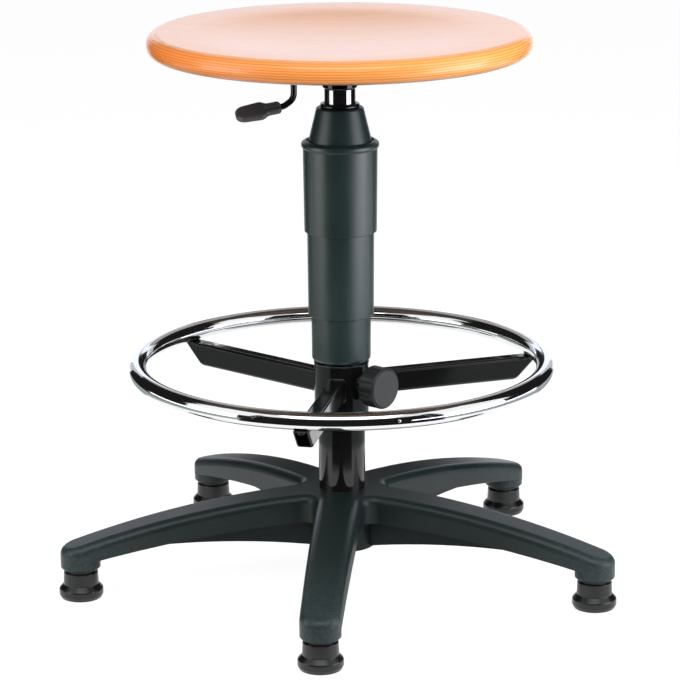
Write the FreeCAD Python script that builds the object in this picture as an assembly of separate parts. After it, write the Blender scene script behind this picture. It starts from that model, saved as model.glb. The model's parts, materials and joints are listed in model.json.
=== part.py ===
import FreeCAD, Part
import math
import os
from FreeCAD import Vector

# A draughtsman stool: a round plywood seat on a gas lift, a height-adjustable foot ring and a
# five-armed moulded base on glides. Millimetres, +Z up, origin on the floor under the column.
# -Y is the front. Every piece is built where it stands when the seat is part way up its travel.

# Clearances that the fits share
RUNNING_GAP = 0.05
SEATED_GAP = 0.03
SLIDING_GAP = 0.1
COVER_GAP = 0.35

# Seat board
SEAT_UNDERSIDE_HEIGHT = 569.5
SEAT_DIAMETER = 400.0
SEAT_THICKNESS = 24.0
SEAT_DISH_DEPTH = 8.0
SEAT_DISH_SHARE = 0.75
SEAT_RIM_WIDTH = 26.0
SEAT_EDGE_RADIUS = 11.0

# Seat plate, lever housing and seat fixings
PLATE_SIZE = 176.0
PLATE_THICKNESS = 2.5
PLATE_CORNER_RADIUS = 18.0
PLATE_LIP_HEIGHT = 7.0
FIXING_SPACING = 125.0
FIXING_SCREW_DIAMETER = 6.0
FIXING_HEAD_DIAMETER = 12.0
FIXING_HEAD_HEIGHT = 4.0
INSERT_DIAMETER = 10.0
INSERT_LENGTH = 13.0
HOUSING_DEPTH = 25.0
HOUSING_WIDTH = 50.0
HOUSING_LENGTH = 72.0
HOUSING_BEND_RADIUS = 4.0

# Gas lift
STROKE_UP = 140.0
STROKE_DOWN = 60.0
CYLINDER_DIAMETER = 28.0
CYLINDER_WALL = 3.0
CYLINDER_TAPER = 0.0251
TAPER_LENGTH = 46.0
ROD_DIAMETER = 10.0
PISTON_HEIGHT = 14.0
ROD_GUIDE_LENGTH = 18.0
VALVE_LENGTH = 30.0
RELEASE_PIN_DIAMETER = 5.0
RELEASE_PIN_REACH = 6.0
RELEASE_PIN_TRAVEL = 3.6
SOCKET_DIAMETER = 32.6
SOCKET_BARE_LENGTH = 20.0
SOCKET_COLLAR_DIAMETER = 36.4
SOCKET_COLLAR_HEIGHT = 8.6

# Seat lever
LEVER_AZIMUTH = 186.0
LEVER_ROD_DIAMETER = 6.6
LEVER_PIVOT_REACH = 24.0
LEVER_PIVOT_DIAMETER = 6.0
LEVER_SLEEVE_DIAMETER = 10.0
LEVER_DROP_REACH = 48.0
LEVER_DROP = 35.6
LEVER_BEND_RADIUS = 12.0
LEVER_REST_GAP = 0.4
PADDLE_REACH = 58.7
PADDLE_LENGTH = 48.0
PADDLE_WIDTH = 30.0
PADDLE_THICKNESS = 7.0
PADDLE_NECK_WIDTH = 18.0
PADDLE_NECK_LENGTH = 14.0
PADDLE_NECK_THICKNESS = 10.0
PADDLE_SLOPE = 10.0
PADDLE_ROLL = 20.0

# Column and its guide
COLUMN_DIAMETER = 50.0
COLUMN_WALL = 2.0
COLUMN_FLOOR_THICKNESS = 3.0
BUSH_FLANGE_THICKNESS = 2.0
BUSH_LENGTH = 90.0

# Thrust bearing and buffer at the foot of the rod
RACE_DIAMETER = 32.0
RACE_THICKNESS = 2.0
BALL_DIAMETER = 4.0
BALL_COUNT = 8
CAGE_THICKNESS = 1.6
BUFFER_HEIGHT = 9.0
CLIP_DIAMETER = 18.0
CLIP_THICKNESS = 1.5

# Telescopic cover
COVER_WALL = 1.8
COVER_COLUMN_GAP = 4.4
COVER_STAGE_STEP = 3.45
COVER_DRAFT = 1.0
COVER_REST_GAP = 1.5
COVER_LOWER_LIP = 4.8
COVER_LOWER_LIP_RADIUS = 4.4
COVER_UPPER_LENGTH = 97.0
COVER_MIDDLE_SHARE = 0.357
COVER_RIM_BULGE = 1.7
COVER_RIM_HEIGHT = 8.0
NECK_HEIGHT = 35.0
NECK_TOP_DIAMETER = 49.0
NECK_BASE_DIAMETER = 66.0
NECK_FLANGE_THICKNESS = 3.0
NECK_GROOVE_WIDTH = 2.4

# Star base
LEG_COUNT = 5
FRONT_LEG_AZIMUTH = -94.5
FOOT_CIRCLE_RADIUS = 285.0
HUB_TOP_HEIGHT = 101.5
HUB_BOSS_DIAMETER = 70.0
HUB_BOSS_BOTTOM = 37.0
LEG_ROOT_WIDTH = 49.0
LEG_TIP_WIDTH = 42.0
LEG_TIP_DEPTH = 28.45
LEG_WALL_DEPTH = 29.5
LEG_TIP_UNDERSIDE_RISE = 8.95
LEG_SHOULDER_RADIUS = 9.0
LEG_NOTCH_RADIUS = 14.0
LEG_WALL = 4.0
LEG_RIB_THICKNESS = 3.0
LEG_RIB_CELLS = 4
KEEL_THICKNESS = 9.0
KEEL_REACH = 240.0
KEEL_SAG = 12.0
TIP_BOSS_CHAMFER = 1.5
HUB_RING_HEIGHT = 7.0
HUB_RING_WIDTH = 5.0

# Glides
GLIDE_CUP_DIAMETER = 36.0
GLIDE_RIM_DIAMETER = 46.5
GLIDE_RIM_HEIGHT = 15.0
GLIDE_HEIGHT = 29.5
GLIDE_SOLE_DIAMETER = 34.0
GLIDE_SOLE_THICKNESS = 4.0
GLIDE_SOLE_PROUD = 0.8
GLIDE_COLLAR_DIAMETER = 30.0
GLIDE_COLLAR_THICKNESS = 3.5
STEM_DIAMETER = 11.0
STEM_LENGTH = 21.0
STEM_RING_BULGE = 0.4
STEM_TAIL_LENGTH = 14.0

# Foot ring, its arms and the clamp
RING_CENTRE_HEIGHT = 235.5
RING_OUTER_DIAMETER = 451.0
RING_TUBE_DIAMETER = 19.0
RING_TUBE_WALL = 1.5
ARM_COUNT = 3
FIRST_ARM_AZIMUTH = 19.2
ARM_WIDTH = 17.0
ARM_HEIGHT = 24.5
ARM_WALL = 2.0
ARM_EDGE_RADIUS = 3.0
ARM_TIP_OVERHANG = 7.0
ARM_CUT_LENGTH = 25.0
ARM_CUT_CORNER_RADIUS = 11.0
ARM_CRADLE_DEPTH = 0.3
ARM_PLUG_THICKNESS = 6.0
RING_SCREW_DIAMETER = 4.8
RING_SCREW_HEAD_DIAMETER = 8.5
RING_SCREW_HEAD_HEIGHT = 3.0
HUB_SLEEVE_DIAMETER = 58.0
HUB_SLEEVE_HEIGHT = 66.9
HUB_SLEEVE_RISE = 2.9
LINER_THICKNESS = 2.0
LINER_FLANGE_WIDTH = 3.6
LINER_FLANGE_THICKNESS = 1.6
LINER_SLIT_WIDTH = 3.0
KNOB_AZIMUTH = -42.0
KNOB_DROP = 15.5
KNOB_DIAMETER = 44.0
KNOB_LENGTH = 22.0
KNOB_LOBES = 9
KNOB_SCALLOP_DEPTH = 1.0
KNOB_STANDOFF = 11.0
KNOB_CAP_DIAMETER = 39.4
KNOB_CAP_THICKNESS = 2.0
CLAMP_SCREW_DIAMETER = 10.0
CLAMP_NUT_DIAMETER = 18.0
CLAMP_NUT_LENGTH = 10.0
PAD_LENGTH = 4.5

# Heights and radii that follow from the sizes above
PLATE_BOTTOM = SEAT_UNDERSIDE_HEIGHT - PLATE_THICKNESS
HOUSING_BOTTOM = PLATE_BOTTOM - HOUSING_DEPTH
HOUSING_FLOOR = HOUSING_BOTTOM + PLATE_THICKNESS
COLLAR_BOTTOM = HOUSING_BOTTOM - SOCKET_COLLAR_HEIGHT
NECK_TOP = COLLAR_BOTTOM - SOCKET_BARE_LENGTH
NECK_BASE = NECK_TOP - NECK_HEIGHT
UPPER_TOP = NECK_BASE
NECK_FLANGE_BOTTOM = UPPER_TOP - COVER_WALL - NECK_FLANGE_THICKNESS
UPPER_BOTTOM = UPPER_TOP - COVER_UPPER_LENGTH
CYLINDER_TOP = HOUSING_FLOOR + 4.0
TAPER_BOTTOM = CYLINDER_TOP - TAPER_LENGTH
SOCKET_BOTTOM = TAPER_BOTTOM
LEVER_ROD_HEIGHT = CYLINDER_TOP + RELEASE_PIN_REACH + LEVER_REST_GAP + LEVER_ROD_DIAMETER / 2
LEVER_PIVOT_HEIGHT = LEVER_ROD_HEIGHT - (LEVER_ROD_DIAMETER + LEVER_SLEEVE_DIAMETER) / 2

COVER_STOP_MARGIN = 12.0
COLUMN_RADIUS = COLUMN_DIAMETER / 2
COLUMN_TOP = NECK_FLANGE_BOTTOM - STROKE_DOWN - COVER_STOP_MARGIN - BUSH_FLANGE_THICKNESS - COVER_WALL
COLUMN_BOTTOM = HUB_BOSS_BOTTOM + CLIP_THICKNESS + 1.5
COVER_LOWER_TOP = COLUMN_TOP + BUSH_FLANGE_THICKNESS + COVER_WALL
COVER_LOWER_RADIUS = COLUMN_RADIUS + COVER_COLUMN_GAP + COVER_WALL
COVER_MIDDLE_RADIUS = COVER_LOWER_RADIUS + COVER_STAGE_STEP
COVER_UPPER_RADIUS = COVER_MIDDLE_RADIUS + COVER_STAGE_STEP
HUB_SLEEVE_TOP = RING_CENTRE_HEIGHT + HUB_SLEEVE_RISE
HUB_SLEEVE_BOTTOM = HUB_SLEEVE_TOP - HUB_SLEEVE_HEIGHT
COVER_LOWER_BOTTOM = HUB_SLEEVE_TOP + LINER_FLANGE_THICKNESS + COVER_REST_GAP
COVER_MIDDLE_BOTTOM = COVER_LOWER_BOTTOM + COVER_MIDDLE_SHARE * (UPPER_BOTTOM - COVER_LOWER_BOTTOM)
COVER_MIDDLE_FOLLOW = 0.6
COVER_MIDDLE_TOP = NECK_FLANGE_BOTTOM - (1 - COVER_MIDDLE_FOLLOW) * STROKE_DOWN - 5.0

RACE_BOTTOM = COLUMN_BOTTOM + COLUMN_FLOOR_THICKNESS + SEATED_GAP
BALL_CENTRE = RACE_BOTTOM + RACE_THICKNESS + RUNNING_GAP + BALL_DIAMETER / 2
UPPER_RACE_BOTTOM = BALL_CENTRE + BALL_DIAMETER / 2 + SEATED_GAP
UPPER_RACE_TOP = UPPER_RACE_BOTTOM + RACE_THICKNESS
CYLINDER_RADIUS = CYLINDER_DIAMETER / 2
CYLINDER_BORE = CYLINDER_RADIUS - CYLINDER_WALL
CYLINDER_BOTTOM = COLUMN_TOP - BUSH_LENGTH - STROKE_UP - 20.0
CYLINDER_LIP = 1.5
ROD_GUIDE_TOP = CYLINDER_BOTTOM + CYLINDER_LIP + SEATED_GAP + ROD_GUIDE_LENGTH
PISTON_BOTTOM = ROD_GUIDE_TOP + STROKE_UP + 2.0
ROD_NECK_RADIUS = ROD_DIAMETER / 2 - 1.0

LEG_ROOT_HALF = LEG_ROOT_WIDTH / 2
LEG_TIP_HALF = LEG_TIP_WIDTH / 2
LEG_TAPER = (LEG_ROOT_HALF - LEG_TIP_HALF) / FOOT_CIRCLE_RADIUS
LEG_END = FOOT_CIRCLE_RADIUS + LEG_TIP_HALF
LEG_UNDERSIDE_HEIGHT = HUB_TOP_HEIGHT - LEG_WALL_DEPTH
TIP_BOSS_BOTTOM = GLIDE_HEIGHT + GLIDE_COLLAR_THICKNESS + RUNNING_GAP
LEG_TOP_DROP = HUB_TOP_HEIGHT - TIP_BOSS_BOTTOM - LEG_TIP_DEPTH
LEG_UNDERSIDE_DROP = LEG_UNDERSIDE_HEIGHT - TIP_BOSS_BOTTOM - LEG_TIP_UNDERSIDE_RISE
HUB_BOSS_RADIUS = HUB_BOSS_DIAMETER / 2

RING_RADIUS = (RING_OUTER_DIAMETER - RING_TUBE_DIAMETER) / 2
RING_TUBE_RADIUS = RING_TUBE_DIAMETER / 2
ARM_TOP = RING_CENTRE_HEIGHT - RING_TUBE_RADIUS + ARM_CRADLE_DEPTH
ARM_BOTTOM = ARM_TOP - ARM_HEIGHT
ARM_TIP_REACH = RING_RADIUS + ARM_TIP_OVERHANG
HUB_SLEEVE_RADIUS = HUB_SLEEVE_DIAMETER / 2
LINER_BORE = COLUMN_RADIUS + SLIDING_GAP
LINER_RADIUS = LINER_BORE + LINER_THICKNESS
KNOB_HEIGHT = RING_CENTRE_HEIGHT - KNOB_DROP
CLAMP_SCREW_RADIUS = CLAMP_SCREW_DIAMETER / 2
CLAMP_SCREW_START = LINER_RADIUS + RUNNING_GAP + PAD_LENGTH + RUNNING_GAP
KNOB_START = HUB_SLEEVE_RADIUS + KNOB_STANDOFF
KNOB_END = KNOB_START + KNOB_LENGTH

UP = Vector(0, 0, 1)
ORIGIN = Vector(0, 0, 0)


# Helpers: outlines with rounded corners, lathe turning and plain prisms


def rounded_edges(corners, closed=True):
    """Edges through (point, radius) corners, each corner rounded by an arc of its radius."""
    joints = []
    for index, (point, radius) in enumerate(corners):
        is_end = not closed and index in (0, len(corners) - 1)
        if radius == 0 or is_end:
            joints.append((point, None, point))
            continue
        before = (corners[index - 1][0] - point).normalize()
        after = (corners[(index + 1) % len(corners)][0] - point).normalize()
        half_angle = before.getAngle(after) / 2
        reach = radius / math.tan(half_angle)
        inward = (before + after).normalize()
        middle = point + inward * (radius / math.sin(half_angle) - radius)
        joints.append((point + before * reach, middle, point + after * reach))
    edges = []
    for index, (start, middle, end) in enumerate(joints):
        if middle is not None:
            edges.append(Part.Arc(start, middle, end).toShape())
        if closed or index < len(joints) - 1:
            following = joints[(index + 1) % len(joints)][0]
            if end.distanceToPoint(following) > 1e-6:
                edges.append(Part.LineSegment(end, following).toShape())
    return edges


def with_radius(corner):
    """A two-number corner is sharp; a third number rounds it."""
    return corner if len(corner) == 3 else (*corner, 0)


def lathe(profile):
    """A solid turned about Z from (radius, height) or (radius, height, corner radius) points."""
    corners = []
    for corner in profile:
        radius, height, rounding = with_radius(corner)
        corners.append((Vector(radius, 0, height), rounding))
    face = Part.Face(Part.Wire(rounded_edges(corners)))
    return outward(face.revolve(ORIGIN, UP, 360))


def upright_plate(profile, thickness):
    """A plate that stands in the XZ plane, centred on Y, cut to (x, z) corners."""
    corners = []
    for corner in profile:
        x, z, rounding = with_radius(corner)
        corners.append((Vector(x, -thickness / 2, z), rounding))
    face = Part.Face(Part.Wire(rounded_edges(corners)))
    return outward(face.extrude(Vector(0, thickness, 0)))


def flat_plate(profile, bottom, top):
    """A prism cut to (x, y) corners between two heights."""
    corners = []
    for corner in profile:
        x, y, rounding = with_radius(corner)
        corners.append((Vector(x, y, bottom), rounding))
    face = Part.Face(Part.Wire(rounded_edges(corners)))
    return outward(face.extrude(Vector(0, 0, top - bottom)))


def outward(solid):
    """The same solid with its faces pointing out."""
    if solid.Volume < 0:
        solid.reverse()
    return solid


def drum(radius, bottom, top):
    """A plain upright cylinder between two heights."""
    return Part.makeCylinder(radius, top - bottom, Vector(0, 0, bottom))


def crosswise(radius, start, end, height):
    """A plain cylinder along X between two reaches, at a height."""
    return Part.makeCylinder(radius, end - start, Vector(start, 0, height), Vector(1, 0, 0))


def turned(shape, azimuth):
    """A copy turned about the stool's own axis."""
    copy = shape.copy()
    copy.rotate(ORIGIN, UP, azimuth)
    return copy


def moved(shape, x, y, z=0.0):
    """A copy moved by an offset."""
    copy = shape.copy()
    copy.translate(Vector(x, y, z))
    return copy


def fuse_all(shapes):
    """One solid from overlapping shapes, without the seams between them."""
    joined = shapes[0].multiFuse(shapes[1:]).removeSplitter()
    return joined.Solids[0] if len(joined.Solids) == 1 else joined


# Seat board and its fixings


def fixing_points():
    """Centres of the seat screws, in the seat plate's own directions."""
    half = FIXING_SPACING / 2
    return [(x, y) for x in (-half, half) for y in (-half, half)]


def seat_board():
    """A dished disc with a full rounded edge and blind holes for the threaded inserts."""
    radius = SEAT_DIAMETER / 2
    top = SEAT_UNDERSIDE_HEIGHT + SEAT_THICKNESS
    crest = radius - SEAT_RIM_WIDTH
    dish_bottom = top - SEAT_DISH_DEPTH
    # the dish is an S of two arcs, level in the middle and level again at the crest
    sweep = 2 * math.atan2(SEAT_DISH_DEPTH, crest)
    hollow = SEAT_DISH_SHARE * crest / math.sin(sweep)
    roll = (1 - SEAT_DISH_SHARE) * crest / math.sin(sweep)

    def hollow_point(angle):
        return Vector(hollow * math.sin(angle), 0, dish_bottom + hollow * (1 - math.cos(angle)))

    def roll_point(angle):
        return Vector(crest - roll * math.sin(angle), 0, top - roll * (1 - math.cos(angle)))

    edge = rounded_edges(
        [
            (Vector(0, 0, SEAT_UNDERSIDE_HEIGHT), 0),
            (Vector(radius, 0, SEAT_UNDERSIDE_HEIGHT), SEAT_EDGE_RADIUS),
            (Vector(radius, 0, top), SEAT_EDGE_RADIUS),
            (Vector(crest, 0, top), 0),
        ],
        closed=False,
    )
    roll_arc = Part.Arc(roll_point(0), roll_point(sweep / 2), hollow_point(sweep)).toShape()
    hollow_arc = Part.Arc(hollow_point(sweep), hollow_point(sweep / 2), hollow_point(0)).toShape()
    axis = Part.LineSegment(hollow_point(0), Vector(0, 0, SEAT_UNDERSIDE_HEIGHT)).toShape()
    face = Part.Face(Part.Wire([*edge, roll_arc, hollow_arc, axis]))
    board = outward(face.revolve(ORIGIN, UP, 360))
    hole_top = SEAT_UNDERSIDE_HEIGHT + INSERT_LENGTH + 1.0
    hole = drum(INSERT_DIAMETER / 2 + SEATED_GAP, SEAT_UNDERSIDE_HEIGHT - 1, hole_top)
    for x, y in fixing_points():
        board = board.cut(turned(moved(hole, x, y), LEVER_AZIMUTH))
    return board


def seat_inserts():
    """Threaded inserts glued into the board from below."""
    bottom = SEAT_UNDERSIDE_HEIGHT + SEATED_GAP
    insert = drum(INSERT_DIAMETER / 2, bottom, bottom + INSERT_LENGTH)
    bore = drum(FIXING_SCREW_DIAMETER / 2 + SEATED_GAP, bottom - 1, bottom + INSERT_LENGTH + 1)
    insert = insert.cut(bore)
    return Part.makeCompound([turned(moved(insert, x, y), LEVER_AZIMUTH) for x, y in fixing_points()])


def seat_screws():
    """Pan-headed screws up through the plate into the inserts."""
    head_top = PLATE_BOTTOM - SEATED_GAP
    shank = FIXING_SCREW_DIAMETER / 2
    head = FIXING_HEAD_DIAMETER / 2
    driver = shank * 0.6
    screw = lathe(
        [
            (0, head_top - FIXING_HEAD_HEIGHT / 2),
            (driver, head_top - FIXING_HEAD_HEIGHT / 2),
            (driver, head_top - FIXING_HEAD_HEIGHT),
            (head, head_top - FIXING_HEAD_HEIGHT, FIXING_HEAD_HEIGHT * 0.6),
            (head, head_top),
            (shank, head_top),
            (shank, SEAT_UNDERSIDE_HEIGHT + INSERT_LENGTH - 1),
            (0, SEAT_UNDERSIDE_HEIGHT + INSERT_LENGTH - 1),
        ]
    )
    return Part.makeCompound([turned(moved(screw, x, y), LEVER_AZIMUTH) for x, y in fixing_points()])


# Seat plate, lever housing and taper socket


def seat_plate():
    """A pressed plate with a turned-down lip and four screw holes."""
    half = PLATE_SIZE / 2
    inner = half - PLATE_THICKNESS
    inner_radius = PLATE_CORNER_RADIUS - PLATE_THICKNESS

    def square(size, radius):
        return [(x * size, y * size, radius) for x, y in ((-1, -1), (1, -1), (1, 1), (-1, 1))]

    blank = flat_plate(
        square(half, PLATE_CORNER_RADIUS), PLATE_BOTTOM - PLATE_LIP_HEIGHT, SEAT_UNDERSIDE_HEIGHT
    )
    hollow = flat_plate(square(inner, inner_radius), PLATE_BOTTOM - PLATE_LIP_HEIGHT - 1, PLATE_BOTTOM)
    plate = blank.cut(hollow)
    hole = drum(FIXING_SCREW_DIAMETER / 2 + 0.4, PLATE_BOTTOM - 1, SEAT_UNDERSIDE_HEIGHT + 1)
    for x, y in fixing_points():
        plate = plate.cut(moved(hole, x, y))
    return turned(plate, LEVER_AZIMUTH)


def lever_housing():
    """A bent channel under the plate that carries the taper socket and the lever's pivot."""
    half = HOUSING_WIDTH / 2
    inner = half - PLATE_THICKNESS
    top = PLATE_BOTTOM - SEATED_GAP
    section = [
        (-half, HOUSING_BOTTOM, HOUSING_BEND_RADIUS),
        (half, HOUSING_BOTTOM, HOUSING_BEND_RADIUS),
        (half, top),
        (inner, top),
        (inner, HOUSING_FLOOR, HOUSING_BEND_RADIUS - PLATE_THICKNESS),
        (-inner, HOUSING_FLOOR, HOUSING_BEND_RADIUS - PLATE_THICKNESS),
        (-inner, top),
        (-half, top),
    ]
    channel = upright_plate(section, HOUSING_LENGTH)
    channel.rotate(ORIGIN, UP, 90)
    channel = channel.cut(drum(SOCKET_DIAMETER / 2 + SEATED_GAP, HOUSING_BOTTOM - 1, HOUSING_FLOOR + 1))
    pivot_hole = Part.makeCylinder(
        LEVER_PIVOT_DIAMETER / 2 + SEATED_GAP,
        HOUSING_WIDTH + 2,
        Vector(LEVER_PIVOT_REACH, -half - 1, LEVER_PIVOT_HEIGHT),
        Vector(0, 1, 0),
    )
    return turned(channel.cut(pivot_hole), LEVER_AZIMUTH)


def taper_radius(height):
    """Radius of the cylinder's tapered end at a height."""
    return CYLINDER_RADIUS - CYLINDER_TAPER * (height - TAPER_BOTTOM)


def taper_socket():
    """A tapered tube, welded through the housing, that grips the top of the gas cylinder."""
    outer = SOCKET_DIAMETER / 2
    collar = SOCKET_COLLAR_DIAMETER / 2
    top = HOUSING_FLOOR + 1.5
    return lathe(
        [
            (taper_radius(SOCKET_BOTTOM) + SEATED_GAP, SOCKET_BOTTOM),
            (outer, SOCKET_BOTTOM),
            (outer, COLLAR_BOTTOM, 0.6),
            (collar, COLLAR_BOTTOM + 1.2, 0.8),
            (collar, HOUSING_BOTTOM - SEATED_GAP),
            (outer, HOUSING_BOTTOM - SEATED_GAP),
            (outer, top),
            (taper_radius(top) + SEATED_GAP, top),
        ]
    )


# Gas lift


def gas_cylinder():
    """The pressure tube: a tapered upper end, and lips that hold the guide and the valve."""
    bore = CYLINDER_BORE
    lip = bore - 1.5
    return lathe(
        [
            (lip, CYLINDER_BOTTOM),
            (CYLINDER_RADIUS, CYLINDER_BOTTOM, 1.0),
            (CYLINDER_RADIUS, TAPER_BOTTOM),
            (taper_radius(CYLINDER_TOP), CYLINDER_TOP),
            (lip, CYLINDER_TOP),
            (lip, CYLINDER_TOP - CYLINDER_LIP),
            (bore, CYLINDER_TOP - CYLINDER_LIP),
            (bore, CYLINDER_BOTTOM + CYLINDER_LIP),
            (lip, CYLINDER_BOTTOM + CYLINDER_LIP),
        ]
    )


def rod_guide():
    """The seal and guide that closes the tube round the rod."""
    bottom = CYLINDER_BOTTOM + CYLINDER_LIP + SEATED_GAP
    ring = drum(CYLINDER_BORE - SEATED_GAP, bottom, ROD_GUIDE_TOP)
    return ring.cut(drum(ROD_DIAMETER / 2 + RUNNING_GAP, bottom - 1, ROD_GUIDE_TOP + 1))


def valve_block():
    """The valve under the top lip, with a blind bore for the release pin."""
    top = CYLINDER_TOP - CYLINDER_LIP - SEATED_GAP
    block = drum(CYLINDER_BORE - SEATED_GAP, top - VALVE_LENGTH, top)
    return block.cut(drum(RELEASE_PIN_DIAMETER / 2 + RUNNING_GAP, top - VALVE_LENGTH + 3, top + 1))


def release_pin():
    """The domed pin that opens the valve when the lever pushes it down."""
    radius = RELEASE_PIN_DIAMETER / 2
    tip = CYLINDER_TOP + RELEASE_PIN_REACH
    valve_floor = CYLINDER_TOP - CYLINDER_LIP - SEATED_GAP - VALVE_LENGTH + 3
    return lathe(
        [
            (0, valve_floor + RELEASE_PIN_TRAVEL + 0.4),
            (radius, valve_floor + RELEASE_PIN_TRAVEL + 0.4),
            (radius, tip, radius * 0.95),
            (0, tip),
        ]
    )


def piston_rod():
    """The rod that stands on the thrust bearing, necked at both ends for its fixings."""
    radius = ROD_DIAMETER / 2
    foot = COLUMN_BOTTOM - CLIP_THICKNESS - 2.0
    groove_top = COLUMN_BOTTOM - SLIDING_GAP
    groove_bottom = groove_top - CLIP_THICKNESS - SEATED_GAP
    shoulder = UPPER_RACE_TOP + SEATED_GAP
    piston_top = PISTON_BOTTOM + PISTON_HEIGHT + 2 * SEATED_GAP
    return lathe(
        [
            (0, foot),
            (ROD_NECK_RADIUS, foot, 0.4),
            (ROD_NECK_RADIUS, groove_bottom),
            (ROD_NECK_RADIUS - 0.6, groove_bottom),
            (ROD_NECK_RADIUS - 0.6, groove_top),
            (ROD_NECK_RADIUS, groove_top),
            (ROD_NECK_RADIUS, shoulder),
            (radius, shoulder),
            (radius, PISTON_BOTTOM),
            (ROD_NECK_RADIUS, PISTON_BOTTOM),
            (ROD_NECK_RADIUS, piston_top),
            (radius, piston_top),
            (radius, piston_top + 2.0, 1.0),
            (0, piston_top + 2.0),
        ]
    )


def piston():
    """The piston on the rod's upper neck, grooved for its seal."""
    outer = CYLINDER_BORE - RUNNING_GAP
    bottom = PISTON_BOTTOM + SEATED_GAP
    top = bottom + PISTON_HEIGHT
    groove = PISTON_HEIGHT / 4
    return lathe(
        [
            (ROD_NECK_RADIUS + SEATED_GAP, bottom),
            (outer, bottom, 0.5),
            (outer, bottom + groove),
            (outer - 1.2, bottom + groove),
            (outer - 1.2, top - groove),
            (outer, top - groove),
            (outer, top, 0.5),
            (ROD_NECK_RADIUS + SEATED_GAP, top),
        ]
    )


def race(bottom, bore):
    """One flat washer of the thrust bearing."""
    washer = drum(RACE_DIAMETER / 2, bottom, bottom + RACE_THICKNESS)
    return washer.cut(drum(bore, bottom - 1, bottom + RACE_THICKNESS + 1))


def ball_circle():
    """Radius on which the bearing's balls run."""
    return (RACE_DIAMETER / 2 + ROD_DIAMETER / 2) / 2


def bearing_balls():
    """The ring of balls between the two races."""
    ball = Part.makeSphere(BALL_DIAMETER / 2, Vector(ball_circle(), 0, BALL_CENTRE))
    return Part.makeCompound([turned(ball, index * 360 / BALL_COUNT) for index in range(BALL_COUNT)])


def bearing_cage():
    """The flat cage that keeps the balls apart."""
    bottom = BALL_CENTRE - CAGE_THICKNESS / 2
    top = BALL_CENTRE + CAGE_THICKNESS / 2
    reach = BALL_DIAMETER / 2 + 1.5
    cage = drum(ball_circle() + reach, bottom, top).cut(drum(ball_circle() - reach, bottom - 1, top + 1))
    pocket = moved(drum(BALL_DIAMETER / 2 + SLIDING_GAP, bottom - 1, top + 1), ball_circle(), 0)
    for index in range(BALL_COUNT):
        cage = cage.cut(turned(pocket, index * 360 / BALL_COUNT))
    return cage


def rod_buffer():
    """A rubber ring on the bearing that softens the bottom of the travel."""
    bore = ROD_DIAMETER / 2 + SLIDING_GAP
    bottom = UPPER_RACE_TOP + SEATED_GAP
    top = bottom + BUFFER_HEIGHT
    outer = CYLINDER_BORE + 1.0
    return lathe([(bore, bottom), (outer, bottom, 1.5), (outer, top, 2.5), (bore, top)])


def rod_clip():
    """The spring clip under the column that keeps the rod in."""
    top = COLUMN_BOTTOM - SLIDING_GAP - SEATED_GAP / 2
    bottom = top - CLIP_THICKNESS
    bore = ROD_NECK_RADIUS - 0.6 + SEATED_GAP
    clip = drum(CLIP_DIAMETER / 2, bottom, top).cut(drum(bore, bottom - 1, top + 1))
    mouth = [(0, -bore), (CLIP_DIAMETER, -bore), (CLIP_DIAMETER, bore), (0, bore)]
    return clip.cut(flat_plate(mouth, bottom - 1, top + 1))


# Column


def column_taper_radius(height):
    """Outer radius of the column where its foot tapers into the base."""
    return COLUMN_RADIUS - CYLINDER_TAPER * max(0.0, HUB_TOP_HEIGHT - height)


def column_tube():
    """The outer steel tube: a tapered foot with an inturned floor, open at the top."""
    bore = COLUMN_RADIUS - COLUMN_WALL
    floor_top = COLUMN_BOTTOM + COLUMN_FLOOR_THICKNESS
    rod_hole = ROD_NECK_RADIUS + SLIDING_GAP
    return lathe(
        [
            (rod_hole, COLUMN_BOTTOM),
            (column_taper_radius(COLUMN_BOTTOM), COLUMN_BOTTOM, 1.5),
            (COLUMN_RADIUS, HUB_TOP_HEIGHT),
            (COLUMN_RADIUS, COLUMN_TOP),
            (bore, COLUMN_TOP),
            (bore, HUB_TOP_HEIGHT),
            (column_taper_radius(floor_top) - COLUMN_WALL, floor_top),
            (rod_hole, floor_top),
        ]
    )


def guide_bush():
    """The plastic sleeve in the column's mouth that guides the gas cylinder."""
    outer = COLUMN_RADIUS - COLUMN_WALL - SEATED_GAP
    bore = CYLINDER_RADIUS + SLIDING_GAP
    seat = COLUMN_TOP + SEATED_GAP
    top = COLUMN_TOP + BUSH_FLANGE_THICKNESS
    return lathe(
        [
            (bore, COLUMN_TOP - BUSH_LENGTH),
            (outer, COLUMN_TOP - BUSH_LENGTH, 1.0),
            (outer, seat),
            (COLUMN_RADIUS, seat),
            (COLUMN_RADIUS, top),
            (bore, top, 0.8),
        ]
    )


# Telescopic cover


def cover_lower():
    """The narrow lower stage, a cap that hangs on the column's mouth, turned in at its foot."""
    outer = COVER_LOWER_RADIUS
    inner = outer - COVER_WALL
    lip = outer - COVER_LOWER_LIP
    seat = COVER_LOWER_TOP - COVER_WALL + SEATED_GAP
    return lathe(
        [
            (lip, COVER_LOWER_BOTTOM),
            (outer, COVER_LOWER_BOTTOM, COVER_LOWER_LIP_RADIUS),
            (outer + COVER_DRAFT, COVER_LOWER_TOP, 0.8),
            (CYLINDER_RADIUS + 1.0, COVER_LOWER_TOP),
            (CYLINDER_RADIUS + 1.0, seat),
            (inner + COVER_DRAFT, seat),
            (inner, COVER_LOWER_BOTTOM + COVER_WALL, COVER_LOWER_LIP_RADIUS - COVER_WALL),
            (lip, COVER_LOWER_BOTTOM + COVER_WALL),
        ]
    )


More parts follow.
